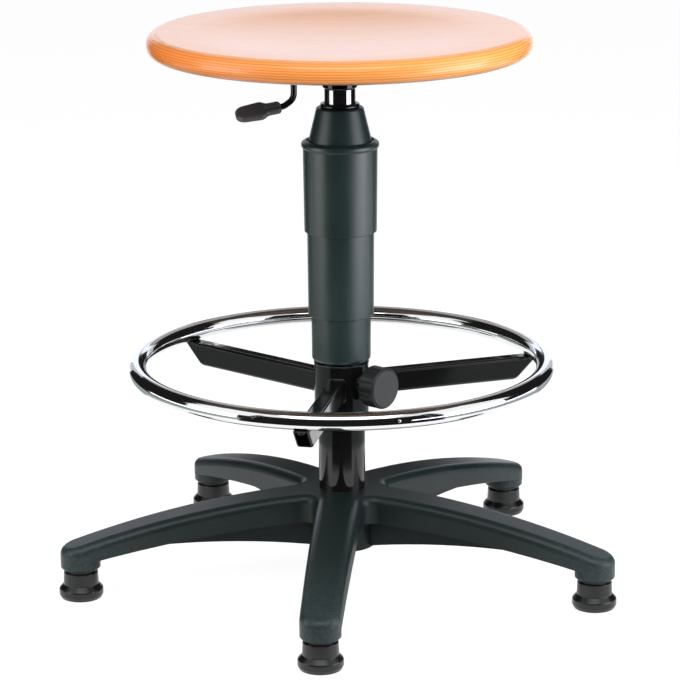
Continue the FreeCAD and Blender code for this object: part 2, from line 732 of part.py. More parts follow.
def cover_middle():
    """The sliding middle stage, with a lip at its top that keeps it in the upper stage."""
    outer = COVER_MIDDLE_RADIUS
    inner = outer - COVER_WALL
    lip = COVER_UPPER_RADIUS - COVER_WALL - COVER_GAP
    lip_height = 4.0
    return lathe(
        [
            (inner - COVER_WALL * 0.2, COVER_MIDDLE_BOTTOM),
            (outer, COVER_MIDDLE_BOTTOM, 0.8),
            (outer + COVER_DRAFT, COVER_MIDDLE_TOP - lip_height),
            (lip, COVER_MIDDLE_TOP - lip_height + 1.0),
            (lip, COVER_MIDDLE_TOP),
            (inner + COVER_DRAFT, COVER_MIDDLE_TOP),
            (inner, COVER_MIDDLE_BOTTOM + 6.0),
            (inner - COVER_WALL * 0.2, COVER_MIDDLE_BOTTOM + 5.0),
        ]
    )


def cover_upper():
    """The wide upper stage, whose rolled rim hangs on the neck's flange."""
    outer = COVER_UPPER_RADIUS
    inner = outer - COVER_WALL
    rim = outer + COVER_DRAFT + COVER_RIM_BULGE
    ceiling = UPPER_TOP - COVER_WALL
    mouth = NECK_BASE_DIAMETER / 2 + NECK_GROOVE_WIDTH
    return lathe(
        [
            (inner, UPPER_BOTTOM),
            (outer, UPPER_BOTTOM, 0.9),
            (outer + COVER_DRAFT, UPPER_TOP - COVER_RIM_HEIGHT, 1.5),
            (rim, UPPER_TOP - COVER_RIM_HEIGHT + 2.0, 1.2),
            (rim, UPPER_TOP - 2.5, 2.0),
            (rim - 4.0, UPPER_TOP, 1.5),
            (mouth, UPPER_TOP, 0.5),
            (mouth, ceiling),
            (inner + COVER_DRAFT, ceiling),
        ]
    )


def cover_neck():
    """The cone that grips the taper socket and carries the upper stage on its flange."""
    base = NECK_BASE_DIAMETER / 2
    crown = NECK_TOP_DIAMETER / 2
    wall = COVER_WALL
    flange = COVER_UPPER_RADIUS + COVER_DRAFT - COVER_WALL - COVER_GAP
    flange_top = UPPER_TOP - COVER_WALL - SEATED_GAP
    bore = SOCKET_DIAMETER / 2 + SEATED_GAP
    grip_bottom = max(NECK_FLANGE_BOTTOM, SOCKET_BOTTOM) + 2.0
    return lathe(
        [
            (base - wall, NECK_FLANGE_BOTTOM),
            (flange, NECK_FLANGE_BOTTOM),
            (flange, flange_top),
            (base, flange_top),
            (base, NECK_BASE),
            (crown, NECK_TOP, 2.5),
            (bore, NECK_TOP, 0.8),
            (bore, grip_bottom),
            (bore + wall, grip_bottom),
            (bore + wall, NECK_TOP - wall),
            (crown - wall, NECK_TOP - wall),
            (base - wall, NECK_BASE),
        ]
    )


# Seat lever


def lever_pivot_pin():
    """The headed pin across the housing on which the lever rocks."""
    half = HOUSING_WIDTH / 2
    axis = Vector(0, 1, 0)
    radius = LEVER_PIVOT_DIAMETER / 2
    head = 1.6
    shank = Part.makeCylinder(
        radius, HOUSING_WIDTH + 0.4, Vector(LEVER_PIVOT_REACH, -half - 0.2, LEVER_PIVOT_HEIGHT), axis
    )
    heads = [
        Part.makeCylinder(radius + 1.5, head, Vector(LEVER_PIVOT_REACH, start, LEVER_PIVOT_HEIGHT), axis)
        for start in (-half - 0.1 - head, half + 0.1)
    ]
    return turned(fuse_all([shank, *heads]), LEVER_AZIMUTH)


def lever_sleeve():
    """The tube that turns on the pivot pin, welded under the lever's bar."""
    length = HOUSING_WIDTH - 2 * PLATE_THICKNESS - 1.0
    start = Vector(LEVER_PIVOT_REACH, -length / 2, LEVER_PIVOT_HEIGHT)
    axis = Vector(0, 1, 0)
    tube = Part.makeCylinder(LEVER_SLEEVE_DIAMETER / 2 - SEATED_GAP, length, start, axis)
    bore = Part.makeCylinder(LEVER_PIVOT_DIAMETER / 2 + RUNNING_GAP, length, start, axis)
    return turned(tube.cut(bore), LEVER_AZIMUTH)


def paddle_origin():
    """Where the lever's bar enters the paddle: reach and height."""
    return PADDLE_REACH, LEVER_ROD_HEIGHT - LEVER_DROP - (PADDLE_REACH - LEVER_DROP_REACH) * 0.7


def lever_rod():
    """The bent bar from above the release pin, out and down to the paddle."""
    reach, height = paddle_origin()
    slope = math.radians(PADDLE_SLOPE)
    tail = PADDLE_NECK_LENGTH - 2.0
    route = [
        (Vector(-7.0, 0, LEVER_ROD_HEIGHT), 0),
        (Vector(LEVER_DROP_REACH, 0, LEVER_ROD_HEIGHT), LEVER_BEND_RADIUS * 0.8),
        (Vector(LEVER_DROP_REACH, 0, LEVER_ROD_HEIGHT - LEVER_DROP), LEVER_BEND_RADIUS),
        (Vector(reach, 0, height), LEVER_BEND_RADIUS),
        (Vector(reach + tail * math.cos(slope), 0, height - tail * math.sin(slope)), 0),
    ]
    path = Part.Wire(rounded_edges(route, closed=False))
    section = Part.Wire(Part.makeCircle(LEVER_ROD_DIAMETER / 2, route[0][0], Vector(1, 0, 0)))
    bar = outward(path.makePipeShell([section], True, False))
    return turned(bar, LEVER_AZIMUTH)


def lever_paddle():
    """The leaf-shaped plastic grip, moulded on to the end of the bar."""
    neck = PADDLE_NECK_WIDTH / 2
    half = PADDLE_WIDTH / 2
    waist = PADDLE_NECK_LENGTH
    leaf = flat_plate(
        [
            (0.0, -neck, 4.0),
            (waist, -neck, 5.0),
            (waist + 6.0, -half, 7.0),
            (PADDLE_LENGTH, -half * 0.8, half * 0.7),
            (PADDLE_LENGTH, half * 0.8, half * 0.7),
            (waist + 6.0, half, 7.0),
            (waist, neck, 5.0),
            (0.0, neck, 4.0),
        ],
        -PADDLE_THICKNESS / 2,
        PADDLE_THICKNESS / 2,
    )
    leaf = leaf.makeFillet(PADDLE_THICKNESS * 0.4, [e for e in leaf.Edges if abs(e.BoundBox.ZLength) < 1e-6])
    socket = crosswise(PADDLE_NECK_THICKNESS / 2, 0.0, waist + 4.0, 0.0)
    socket = socket.makeFillet(1.5, [e for e in socket.Edges if e.Closed])
    paddle = fuse_all([leaf, socket])
    paddle = paddle.cut(crosswise(LEVER_ROD_DIAMETER / 2 + SEATED_GAP, -1.0, PADDLE_NECK_LENGTH - 1.0, 0.0))
    reach, height = paddle_origin()
    paddle.rotate(ORIGIN, Vector(1, 0, 0), -PADDLE_ROLL)
    paddle.rotate(ORIGIN, Vector(0, 1, 0), PADDLE_SLOPE)
    back_off = LEVER_BEND_RADIUS * 0.25
    slope = math.radians(PADDLE_SLOPE)
    paddle = moved(paddle, reach + back_off * math.cos(slope), 0, height - back_off * math.sin(slope))
    return turned(paddle, LEVER_AZIMUTH)


# Star base


def leg_azimuths():
    """Directions of the legs, the front one first."""
    return [FRONT_LEG_AZIMUTH + index * 360 / LEG_COUNT for index in range(LEG_COUNT)]


def leg_half_width(reach):
    """Half the leg's plan width at a distance from the axis."""
    return LEG_ROOT_HALF - LEG_TAPER * reach


def domed_ball(crown, drop, shrink=0.0):
    """A large ball whose crown gives the legs their arched surface, its seam turned well away."""
    radius = (FOOT_CIRCLE_RADIUS**2 + drop**2) / (2 * drop)
    ball = Part.makeSphere(radius - shrink)
    ball.rotate(ORIGIN, Vector(0, 1, 0), 90)
    ball.translate(Vector(0, 0, crown - radius))
    return ball, Vector(0, 0, crown - radius), radius


def star_outline():
    """The plan of the five legs, round at the tips and in the notches between them."""
    half_step = math.radians(180 / LEG_COUNT)
    notch_x = LEG_ROOT_HALF / (math.tan(half_step) + LEG_TAPER)
    notch_reach = notch_x / math.cos(half_step)
    tip_half = leg_half_width(LEG_END)
    corners = []
    for azimuth in leg_azimuths():
        along = Vector(math.cos(math.radians(azimuth)), math.sin(math.radians(azimuth)), 0)
        across = Vector(-along.y, along.x, 0)
        notch = math.radians(azimuth) + half_step
        for side in (-1, 1):
            tip = along * LEG_END + across * (side * tip_half)
            corners.append((tip.x, tip.y, tip_half * 0.97))
        corners.append((notch_reach * math.cos(notch), notch_reach * math.sin(notch), LEG_NOTCH_RADIUS))
    return corners


def leg_pockets():
    """The open cells under one leg, either side of its keel and between its cross ribs."""
    start = HUB_BOSS_RADIUS + 6.0
    end = FOOT_CIRCLE_RADIUS - LEG_TIP_HALF
    step = (end - start + LEG_RIB_THICKNESS) / LEG_RIB_CELLS
    floor = LEG_UNDERSIDE_HEIGHT - 2 * LEG_UNDERSIDE_DROP
    inside, _, _ = domed_ball(HUB_TOP_HEIGHT, LEG_TOP_DROP, LEG_WALL)
    cells = []
    for index in range(LEG_RIB_CELLS):
        near = start + index * step
        far = near + step - LEG_RIB_THICKNESS
        for side in (-1, 1):
            inner = side * KEEL_THICKNESS / 2
            outer_near = side * (leg_half_width(near) - LEG_WALL)
            outer_far = side * (leg_half_width(far) - LEG_WALL)
            cell = flat_plate(
                [
                    (near, inner, 1.5),
                    (far, inner, 1.5),
                    (far, outer_far, 2.5),
                    (near, outer_near, 2.5),
                ],
                floor,
                HUB_TOP_HEIGHT,
            )
            cells.append(cell.common(inside))
    return cells


def keel():
    """The deep rib under one leg, which runs out along an arch from the hub."""
    tie = 6.0
    start = HUB_BOSS_RADIUS - 4.0
    _, underside_centre, underside_radius = domed_ball(LEG_UNDERSIDE_HEIGHT, LEG_UNDERSIDE_DROP)

    def underside(reach):
        return underside_centre.z + math.sqrt(underside_radius**2 - reach**2)

    foot = Vector(start, 0, HUB_BOSS_BOTTOM + 1.0)
    toe = Vector(KEEL_REACH, 0, underside(KEEL_REACH))
    crown = Vector((start + KEEL_REACH) / 2, 0, (foot.z + toe.z) / 2 + KEEL_SAG * 0.5)
    half = Vector(0, KEEL_THICKNESS / 2, 0)
    edges = [
        Part.Arc(foot, crown, toe).toShape(),
        Part.LineSegment(toe, toe + Vector(0, 0, tie)).toShape(),
        Part.LineSegment(toe + Vector(0, 0, tie), Vector(start, 0, underside(start) + tie)).toShape(),
        Part.LineSegment(Vector(start, 0, underside(start) + tie), foot).toShape(),
    ]
    face = Part.Face(Part.Wire(edges))
    plate = outward(face.extrude(half * 2))
    plate.translate(half * -1)
    return plate


def hub_bore():
    """The tapered bore that the column's foot is driven into."""
    return lathe(
        [
            (0, HUB_BOSS_BOTTOM - 1),
            (column_taper_radius(HUB_BOSS_BOTTOM - 1) + SEATED_GAP, HUB_BOSS_BOTTOM - 1),
            (COLUMN_RADIUS + SEATED_GAP, HUB_TOP_HEIGHT),
            (COLUMN_RADIUS + SEATED_GAP, HUB_TOP_HEIGHT + 2),
            (0, HUB_TOP_HEIGHT + 2),
        ]
    )


def hub_ring_profile(gap):
    """Bottom, top and outer radius of the steel ring's seat, grown by a gap."""
    outer = COLUMN_RADIUS + HUB_RING_WIDTH + gap
    return HUB_BOSS_BOTTOM, HUB_BOSS_BOTTOM + HUB_RING_HEIGHT + gap, outer


def stem_socket():
    """The blind hole for a glide's stem, with the groove its snap ring clicks into."""
    radius = STEM_DIAMETER / 2 + RUNNING_GAP
    groove = radius + STEM_RING_BULGE
    ring_height = TIP_BOSS_BOTTOM + STEM_LENGTH * 0.6
    top = TIP_BOSS_BOTTOM + STEM_LENGTH + 1.0
    return lathe(
        [
            (0, TIP_BOSS_BOTTOM - 1),
            (radius, TIP_BOSS_BOTTOM - 1),
            (radius, ring_height - 1.5),
            (groove, ring_height - 1.0),
            (groove, ring_height + 1.0),
            (radius, ring_height + 1.5),
            (radius, top),
            (0, top),
        ]
    )


def star_base():
    """The one-piece moulding: arched legs open below, keels, hub and glide sockets."""
    crown, crown_centre, crown_radius = domed_ball(HUB_TOP_HEIGHT, LEG_TOP_DROP)
    underside, _, _ = domed_ball(LEG_UNDERSIDE_HEIGHT, LEG_UNDERSIDE_DROP)
    blank = flat_plate(star_outline(), 0.0, HUB_TOP_HEIGHT + 10)
    shell = blank.common(crown).cut(underside)
    rim = [
        e
        for e in shell.Edges
        if all(abs((v.Point - crown_centre).Length - crown_radius) < 1e-3 for v in e.Vertexes)
    ]
    shell = shell.makeFillet(LEG_SHOULDER_RADIUS, rim)

    boss_top = HUB_TOP_HEIGHT - LEG_SHOULDER_RADIUS
    tip_boss = drum(LEG_TIP_HALF, TIP_BOSS_BOTTOM, HUB_TOP_HEIGHT - LEG_TOP_DROP - LEG_SHOULDER_RADIUS - 6)
    tip_boss = tip_boss.makeChamfer(
        TIP_BOSS_CHAMFER, [e for e in tip_boss.Edges if abs(e.BoundBox.ZMax - TIP_BOSS_BOTTOM) < 1e-3]
    )
    tip_boss = moved(tip_boss, FOOT_CIRCLE_RADIUS, 0)
    one_keel = keel()
    additions = [drum(HUB_BOSS_RADIUS, HUB_BOSS_BOTTOM, boss_top)]
    cuts = [hub_bore()]
    ring_bottom, ring_top, ring_outer = hub_ring_profile(SEATED_GAP)
    cuts.append(drum(ring_outer, ring_bottom - 1, ring_top))
    cells = leg_pockets()
    socket = moved(stem_socket(), FOOT_CIRCLE_RADIUS, 0)
    for azimuth in leg_azimuths():
        additions += [turned(one_keel, azimuth), turned(tip_boss, azimuth)]
        cuts += [turned(cell, azimuth) for cell in cells]
        cuts.append(turned(socket, azimuth))
    base = shell.multiFuse(additions).removeSplitter()
    base = base.cut(cuts)
    return base.Solids[0]


def hub_ring():
    """The steel ring let into the foot of the hub, round the column."""
    bottom, top, outer = hub_ring_profile(0.0)
    ring = drum(outer, bottom, top)
    return ring.cut(hub_bore())


# Glides


def glide_cup():
    """A turned cup with a rolled foot, recessed below for its sole."""
    cup = GLIDE_CUP_DIAMETER / 2
    rim = GLIDE_RIM_DIAMETER / 2
    hole = STEM_DIAMETER / 2 - 1.0 + SEATED_GAP
    recess = GLIDE_SOLE_DIAMETER / 2 + SEATED_GAP
    recess_top = GLIDE_SOLE_THICKNESS + SEATED_GAP
    return lathe(
        [
            (recess, GLIDE_SOLE_PROUD),
            (rim - 2.0, GLIDE_SOLE_PROUD, 1.0),
            (rim, GLIDE_SOLE_PROUD + 4.0, 3.0),
            (rim, GLIDE_RIM_HEIGHT - 4.0, 3.5),
            (cup + 0.6, GLIDE_RIM_HEIGHT + 1.0, 1.5),
            (cup, GLIDE_HEIGHT, 1.2),
            (hole, GLIDE_HEIGHT),
            (hole, recess_top),
            (recess, recess_top),
        ]
    )


def glide_sole():
    """The hard disc that slides on the floor."""
    radius = GLIDE_SOLE_DIAMETER / 2
    return lathe([(0, 0), (radius, 0, 0.6), (radius, GLIDE_SOLE_THICKNESS), (0, GLIDE_SOLE_THICKNESS)])


def glide_stem():
    """The steel stem: a tail in the cup, a collar under the leg and a snap ring near the top."""
    radius = STEM_DIAMETER / 2
    tail = radius - 1.0
    collar = GLIDE_COLLAR_DIAMETER / 2
    collar_bottom = GLIDE_HEIGHT + SEATED_GAP
    collar_top = GLIDE_HEIGHT + GLIDE_COLLAR_THICKNESS
    ring_height = TIP_BOSS_BOTTOM + STEM_LENGTH * 0.6
    bulge = radius + STEM_RING_BULGE - RUNNING_GAP
    return lathe(
        [
            (0, GLIDE_HEIGHT - STEM_TAIL_LENGTH),
            (tail, GLIDE_HEIGHT - STEM_TAIL_LENGTH),
            (tail, collar_bottom),
            (collar, collar_bottom),
            (collar, collar_top),
            (radius, collar_top),
            (radius, ring_height - 1.0),
            (bulge, ring_height - 0.5),
            (bulge, ring_height + 0.5),
            (radius, ring_height + 1.0),
            (radius, TIP_BOSS_BOTTOM + STEM_LENGTH, 1.0),
            (0, TIP_BOSS_BOTTOM + STEM_LENGTH),
        ]
    )


# Foot ring


def arm_azimuths():
    """Directions of the foot ring's arms."""
    return [FIRST_ARM_AZIMUTH + index * 360 / ARM_COUNT for index in range(ARM_COUNT)]


def ring_torus(tube_radius):
    """A round ring of the given tube radius on the foot ring's centre line."""
    return Part.makeTorus(RING_RADIUS, tube_radius, Vector(0, 0, RING_CENTRE_HEIGHT))


def foot_ring():
    """The chromed ring, a bent tube with a tapped hole under it at each arm."""
    tube = ring_torus(RING_TUBE_RADIUS).cut(ring_torus(RING_TUBE_RADIUS - RING_TUBE_WALL))
    hole = moved(
        drum(RING_SCREW_DIAMETER / 2 + SEATED_GAP, ARM_TOP - ARM_WALL, RING_CENTRE_HEIGHT), RING_RADIUS, 0
    )
    for azimuth in arm_azimuths():
        tube = tube.cut(turned(hole, azimuth))
    return tube.Solids[0]


def ring_arm(azimuth):
    """A square tube from the hub to the ring, its outer end cut back on the slant."""
    toe = ARM_TIP_REACH - ARM_CUT_LENGTH
    start = HUB_SLEEVE_RADIUS * 0.5
    arm = upright_plate(
        [
            (start, ARM_BOTTOM),
            (toe, ARM_BOTTOM, ARM_CUT_CORNER_RADIUS),
            (ARM_TIP_REACH, ARM_TOP),
            (start, ARM_TOP),
        ],
        ARM_WIDTH,
    )
    long_edges = [
        e
        for e in arm.Edges
        if abs(e.BoundBox.YLength) < 1e-6 and abs(e.BoundBox.ZLength) < 1e-6 and e.BoundBox.XLength > ARM_CUT_LENGTH * 2
    ]
    arm = arm.makeFillet(ARM_EDGE_RADIUS, long_edges)
    inner = ARM_WIDTH / 2 - ARM_WALL
    floor = ARM_BOTTOM + ARM_WALL
    bore_height = ARM_HEIGHT - 2 * ARM_WALL
    bore = Part.makeBox(ARM_TIP_REACH + 20, 2 * inner, bore_height, Vector(0, -inner, floor))
    arm = arm.cut(bore)
    arm = arm.cut(drum(HUB_SLEEVE_RADIUS + SEATED_GAP, ARM_BOTTOM - 1, ARM_TOP + 1))
    screw_hole = drum(RING_SCREW_DIAMETER / 2 + SLIDING_GAP, ARM_BOTTOM, ARM_TOP + 1)
    arm = arm.cut(moved(screw_hole, RING_RADIUS, 0))
    arm = turned(arm, azimuth).cut(ring_torus(RING_TUBE_RADIUS + SEATED_GAP))
    return max(arm.Solids, key=lambda solid: solid.Volume)


def arm_plugs():
    """Plastic plugs that close the arms' tubes just inside their slanted ends."""
    inner = ARM_WIDTH / 2 - ARM_WALL - SEATED_GAP
    floor = ARM_BOTTOM + ARM_WALL + SEATED_GAP
    height = ARM_HEIGHT - 2 * (ARM_WALL + SEATED_GAP)
    start = ARM_TIP_REACH - ARM_CUT_LENGTH - ARM_CUT_CORNER_RADIUS - ARM_PLUG_THICKNESS
    plug = Part.makeBox(ARM_PLUG_THICKNESS, 2 * inner, height, Vector(start, -inner, floor))
    return Part.makeCompound([turned(plug, azimuth) for azimuth in arm_azimuths()])


def ring_screws():
    """Screws up through the arms' tips into the ring."""
    shank = RING_SCREW_DIAMETER / 2
    head = RING_SCREW_HEAD_DIAMETER / 2
    seat = ARM_TOP - ARM_WALL - SEATED_GAP
    screw = lathe(
        [
            (0, seat - RING_SCREW_HEAD_HEIGHT),
            (head, seat - RING_SCREW_HEAD_HEIGHT, RING_SCREW_HEAD_HEIGHT * 0.5),
            (head, seat),
            (shank, seat),
            (shank, RING_CENTRE_HEIGHT - 2.0),
            (0, RING_CENTRE_HEIGHT - 2.0),
        ]
    )
    screw = moved(screw, RING_RADIUS, 0)
    return Part.makeCompound([turned(screw, azimuth) for azimuth in arm_azimuths()])


def ring_hub():
    """The steel sleeve that the arms are welded to, drilled for the clamp screw."""
    sleeve = drum(HUB_SLEEVE_RADIUS, HUB_SLEEVE_BOTTOM, HUB_SLEEVE_TOP)
    sleeve = sleeve.cut(drum(LINER_RADIUS + SLIDING_GAP, HUB_SLEEVE_BOTTOM - 1, HUB_SLEEVE_TOP + 1))
    hole = crosswise(CLAMP_SCREW_RADIUS + SLIDING_GAP, LINER_RADIUS * 0.8, HUB_SLEEVE_RADIUS + 2, KNOB_HEIGHT)
    return sleeve.cut(turned(hole, KNOB_AZIMUTH))


def clamp_liner():
    """The split plastic sleeve that grips the column, flanged over both ends of the hub."""
    flange = LINER_RADIUS + LINER_FLANGE_WIDTH - LINER_THICKNESS
    low = HUB_SLEEVE_BOTTOM - SLIDING_GAP
    high = HUB_SLEEVE_TOP + SLIDING_GAP
    liner = lathe(
        [
            (LINER_BORE, low - LINER_FLANGE_THICKNESS),
            (flange, low - LINER_FLANGE_THICKNESS),
            (flange, low),
            (LINER_RADIUS, low),
            (LINER_RADIUS, high),
            (flange, high),
            (flange, high + LINER_FLANGE_THICKNESS),
            (LINER_BORE, high + LINER_FLANGE_THICKNESS),
        ]
    )
    half = LINER_SLIT_WIDTH / 2
    far = -2 * flange
    slit = flat_plate([(far, -half), (0, -half), (0, half), (far, half)], low - 10, high + 10)
    return liner.cut(turned(slit, KNOB_AZIMUTH))


def clamp_nut():
    """The tapped boss welded to the hub for the clamp screw."""
    start = HUB_SLEEVE_RADIUS * 0.8
    end = HUB_SLEEVE_RADIUS + CLAMP_NUT_LENGTH
    boss = crosswise(CLAMP_NUT_DIAMETER / 2, start, end, KNOB_HEIGHT)
    boss = boss.cut(crosswise(CLAMP_SCREW_RADIUS + RUNNING_GAP, start - 1, end + 1, KNOB_HEIGHT))
    boss = boss.cut(drum(HUB_SLEEVE_RADIUS + SEATED_GAP, HUB_SLEEVE_BOTTOM, HUB_SLEEVE_TOP))
    return turned(boss, KNOB_AZIMUTH)


def pressure_pad():
    """The brass pad at the screw's end, hollowed to the liner's curve."""
    end = LINER_RADIUS + RUNNING_GAP + PAD_LENGTH
    pad = crosswise(CLAMP_SCREW_RADIUS - SEATED_GAP, LINER_RADIUS * 0.8, end, KNOB_HEIGHT)
    pad = pad.cut(drum(LINER_RADIUS + RUNNING_GAP, HUB_SLEEVE_BOTTOM, HUB_SLEEVE_TOP))
    return turned(pad, KNOB_AZIMUTH)


def clamp_screw():
    """The threaded stud between the pad and the knob."""
    stud = crosswise(CLAMP_SCREW_RADIUS, CLAMP_SCREW_START, KNOB_END - 6.0, KNOB_HEIGHT)
    return turned(stud, KNOB_AZIMUTH)


def along_knob_axis(shape):
    """A part turned about Z, laid along the clamp's axis with its foot on the stool's axis."""
    shape = shape.copy()
    shape.rotate(ORIGIN, Vector(0, 1, 0), 90)
    shape.translate(Vector(0, 0, KNOB_HEIGHT))
    return turned(shape, KNOB_AZIMUTH)


def clamp_knob():
    """The round hand knob, scalloped for grip, with a recess for its cap."""
    radius = KNOB_DIAMETER / 2
    recess = KNOB_CAP_DIAMETER / 2 + SEATED_GAP
    recess_depth = KNOB_CAP_THICKNESS * 0.6
    bore = CLAMP_SCREW_RADIUS + SEATED_GAP
    bore_end = KNOB_END - 5.5
    body = lathe(
        [
            (bore, KNOB_START),
            (radius * 0.8, KNOB_START, 1.5),
            (radius, KNOB_START + 3.0, 2.5),
            (radius, KNOB_END, 1.6),
            (recess, KNOB_END),
            (recess, KNOB_END - recess_depth),
            (0, KNOB_END - recess_depth),
            (0, bore_end),
            (bore, bore_end),
        ]
    )
    scallop_radius = radius * 0.3
    scallop = drum(scallop_radius, KNOB_START - 1, KNOB_END - 3.0)
    scallop = moved(scallop, radius + scallop_radius - KNOB_SCALLOP_DEPTH, 0)
    body = body.cut([turned(scallop, index * 360 / KNOB_LOBES) for index in range(KNOB_LOBES)])
    return along_knob_axis(body.Solids[0])


def knob_cap():
    """The slightly domed disc pressed into the knob's face."""
    radius = KNOB_CAP_DIAMETER / 2
    bottom = KNOB_END - KNOB_CAP_THICKNESS * 0.6 + SEATED_GAP
    top = bottom + KNOB_CAP_THICKNESS
    cap = lathe([(0, bottom), (radius, bottom), (radius, top, 0.8), (0, top)])
    return along_knob_axis(cap)


# Every node of the stool, by name


def build():
    """All the pieces, each under the name of its node."""
    nodes = {
        "star_base": star_base(),
        "hub_ring": hub_ring(),
        "column_tube": column_tube(),
        "guide_bush": guide_bush(),
        "bearing_lower_race": race(RACE_BOTTOM, ROD_DIAMETER / 2),
        "bearing_balls": bearing_balls(),
        "bearing_cage": bearing_cage(),
        "bearing_upper_race": race(UPPER_RACE_BOTTOM, ROD_NECK_RADIUS + SEATED_GAP),
        "rod_buffer": rod_buffer(),
        "rod_clip": rod_clip(),
        "piston_rod": piston_rod(),
        "piston": piston(),
        "gas_cylinder": gas_cylinder(),
        "rod_guide": rod_guide(),
        "valve_block": valve_block(),
        "release_pin": release_pin(),
        "cover_lower": cover_lower(),
        "cover_middle": cover_middle(),
        "cover_upper": cover_upper(),
        "cover_neck": cover_neck(),
        "taper_socket": taper_socket(),
        "lever_housing": lever_housing(),
        "seat_plate": seat_plate(),
        "seat_screws": seat_screws(),
        "seat_inserts": seat_inserts(),
        "seat_board": seat_board(),
        "lever_pivot_pin": lever_pivot_pin(),
        "lever_sleeve": lever_sleeve(),
        "lever_rod": lever_rod(),
        "lever_paddle": lever_paddle(),
        "foot_ring": foot_ring(),
        "arm_plugs": arm_plugs(),
        "ring_screws": ring_screws(),
        "ring_hub": ring_hub(),
        "clamp_liner": clamp_liner(),
        "clamp_nut": clamp_nut(),
        "pressure_pad": pressure_pad(),
        "clamp_screw": clamp_screw(),
        "clamp_knob": clamp_knob(),
        "knob_cap": knob_cap(),
    }
    for name, azimuth in zip(("right", "left", "front"), arm_azimuths()):
        nodes[f"ring_arm_{name}"] = ring_arm(azimuth)
    for number, azimuth in enumerate(leg_azimuths(), start=1):
        for name, piece in (("cup", glide_cup()), ("sole", glide_sole()), ("stem", glide_stem())):
            nodes[f"glide_{name}_{number}"] = turned(moved(piece, FOOT_CIRCLE_RADIUS, 0), azimuth)
    return nodes


def main():
    os.makedirs("parts", exist_ok=True)
    for name, shape in build().items():
        shape.exportStep(f"parts/{name}.step")
        print(f"{name}: {len(shape.Solids)} solid(s), {shape.Volume / 1000:.2f} cm3, valid {shape.isValid()}")


main()
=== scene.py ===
# %% [markdown]
# # A draughtsman stool
# The stool arrives as a packed set of solids, each one already in its place, in metres, with the floor at
# zero and the column on the upright axis. We could model every piece again here, but the solids carry the
# joints, so this lesson keeps them as a fixed frame and spends its effort on finishes, light and the small
# things that a workshop adds, such as weld beads.

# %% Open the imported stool
import json
import math

import bmesh
import bpy
from mathutils import Matrix, Vector


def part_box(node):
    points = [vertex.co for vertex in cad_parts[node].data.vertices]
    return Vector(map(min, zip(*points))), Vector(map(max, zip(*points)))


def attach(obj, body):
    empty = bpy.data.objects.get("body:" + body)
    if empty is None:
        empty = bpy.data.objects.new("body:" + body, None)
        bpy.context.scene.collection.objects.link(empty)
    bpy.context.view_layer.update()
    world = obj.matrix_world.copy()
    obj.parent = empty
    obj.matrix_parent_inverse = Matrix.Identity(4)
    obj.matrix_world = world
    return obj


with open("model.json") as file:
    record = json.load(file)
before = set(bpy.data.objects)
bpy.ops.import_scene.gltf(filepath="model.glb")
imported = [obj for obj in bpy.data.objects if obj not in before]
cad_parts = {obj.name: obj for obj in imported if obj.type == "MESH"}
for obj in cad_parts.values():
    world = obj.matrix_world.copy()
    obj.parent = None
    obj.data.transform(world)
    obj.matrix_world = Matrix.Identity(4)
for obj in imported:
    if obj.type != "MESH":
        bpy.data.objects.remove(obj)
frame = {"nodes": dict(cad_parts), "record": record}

scene = bpy.context.scene
stool_nodes = frame["nodes"]
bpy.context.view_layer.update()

# %% [markdown]
# ## The camera
# The picture was taken from a little above the seat, with a long lens, so upright lines stay nearly
# parallel. A camera can be aimed by hand until it looks right, but here its distance, height and tilt were
# solved from the ovals of the seat, the foot ring and the glides, so we simply write those values down.

# %% Place the camera
PICTURE_PIXELS = 680
LENS_PIXELS = 3110.5
SENSOR_WIDTH = 36.0
CAMERA_PLACE = (0.0, -3.1883, 1.1071)
CAMERA_TILT_DOWN = 0.259
CAMERA_ROLL = -0.006
AXIS_OFFSET_PIXELS = 1.3

camera_lens = bpy.data.cameras.new("stool_camera")
camera_lens.sensor_width = SENSOR_WIDTH
camera_lens.lens = LENS_PIXELS / PICTURE_PIXELS * SENSOR_WIDTH
camera_lens.shift_x = -AXIS_OFFSET_PIXELS / PICTURE_PIXELS
camera = bpy.data.objects.new("stool_camera", camera_lens)
scene.collection.objects.link(camera)
aim = Matrix.Rotation(math.pi / 2 - CAMERA_TILT_DOWN, 4, "X") @ Matrix.Rotation(CAMERA_ROLL, 4, "Z")
camera.matrix_world = Matrix.Translation(CAMERA_PLACE) @ aim
scene.camera = camera
scene.view_settings.view_transform = "Standard"
print("lens:", round(camera_lens.lens, 1), "mm")

# %% [markdown]
# ## Helpers for node trees
# The floor, the cloths and every finish below are small trees of nodes. Adding a node, setting its sockets
# and linking it takes several lines each time, so one short helper keeps the trees readable. A second one
# turns a tone and a tint into a colour, so that the two can be changed apart.

# %% Helpers for node trees
WHITE = (1.0, 1.0, 1.0)


def add_node(tree, kind, feed=None, **settings):
    """A new node; capitalised settings are sockets, the rest are the node's own options."""
    node = tree.nodes.new(kind)
    for key, value in settings.items():
        if key[0].isupper():
            node.inputs[key.replace("_", " ")].default_value = value
        else:
            setattr(node, key, value)
    for key, source in (feed or {}).items():
        tree.links.new(source, node.inputs[key])
    return node


def grey(tone, tint=WHITE):
    return tuple(tone * part for part in tint)


print("node helpers ready")

# %% [markdown]
# ## The white floor
# A shop picture of a stool stands on a white sweep. A floor that is only painted white comes out grey in
# its shadows, so here the floor adds a share of plain white for the camera and for mirror reflections, and
# lets the rest be lit, which keeps a soft shadow under the feet.

# %% Lay the white floor
FLOOR_HALF = 9.0
FLOOR_OWN_WHITE = 0.88
FLOOR_LIT_SHARE = 0.25
FLOOR_BOUNCE = 0.50


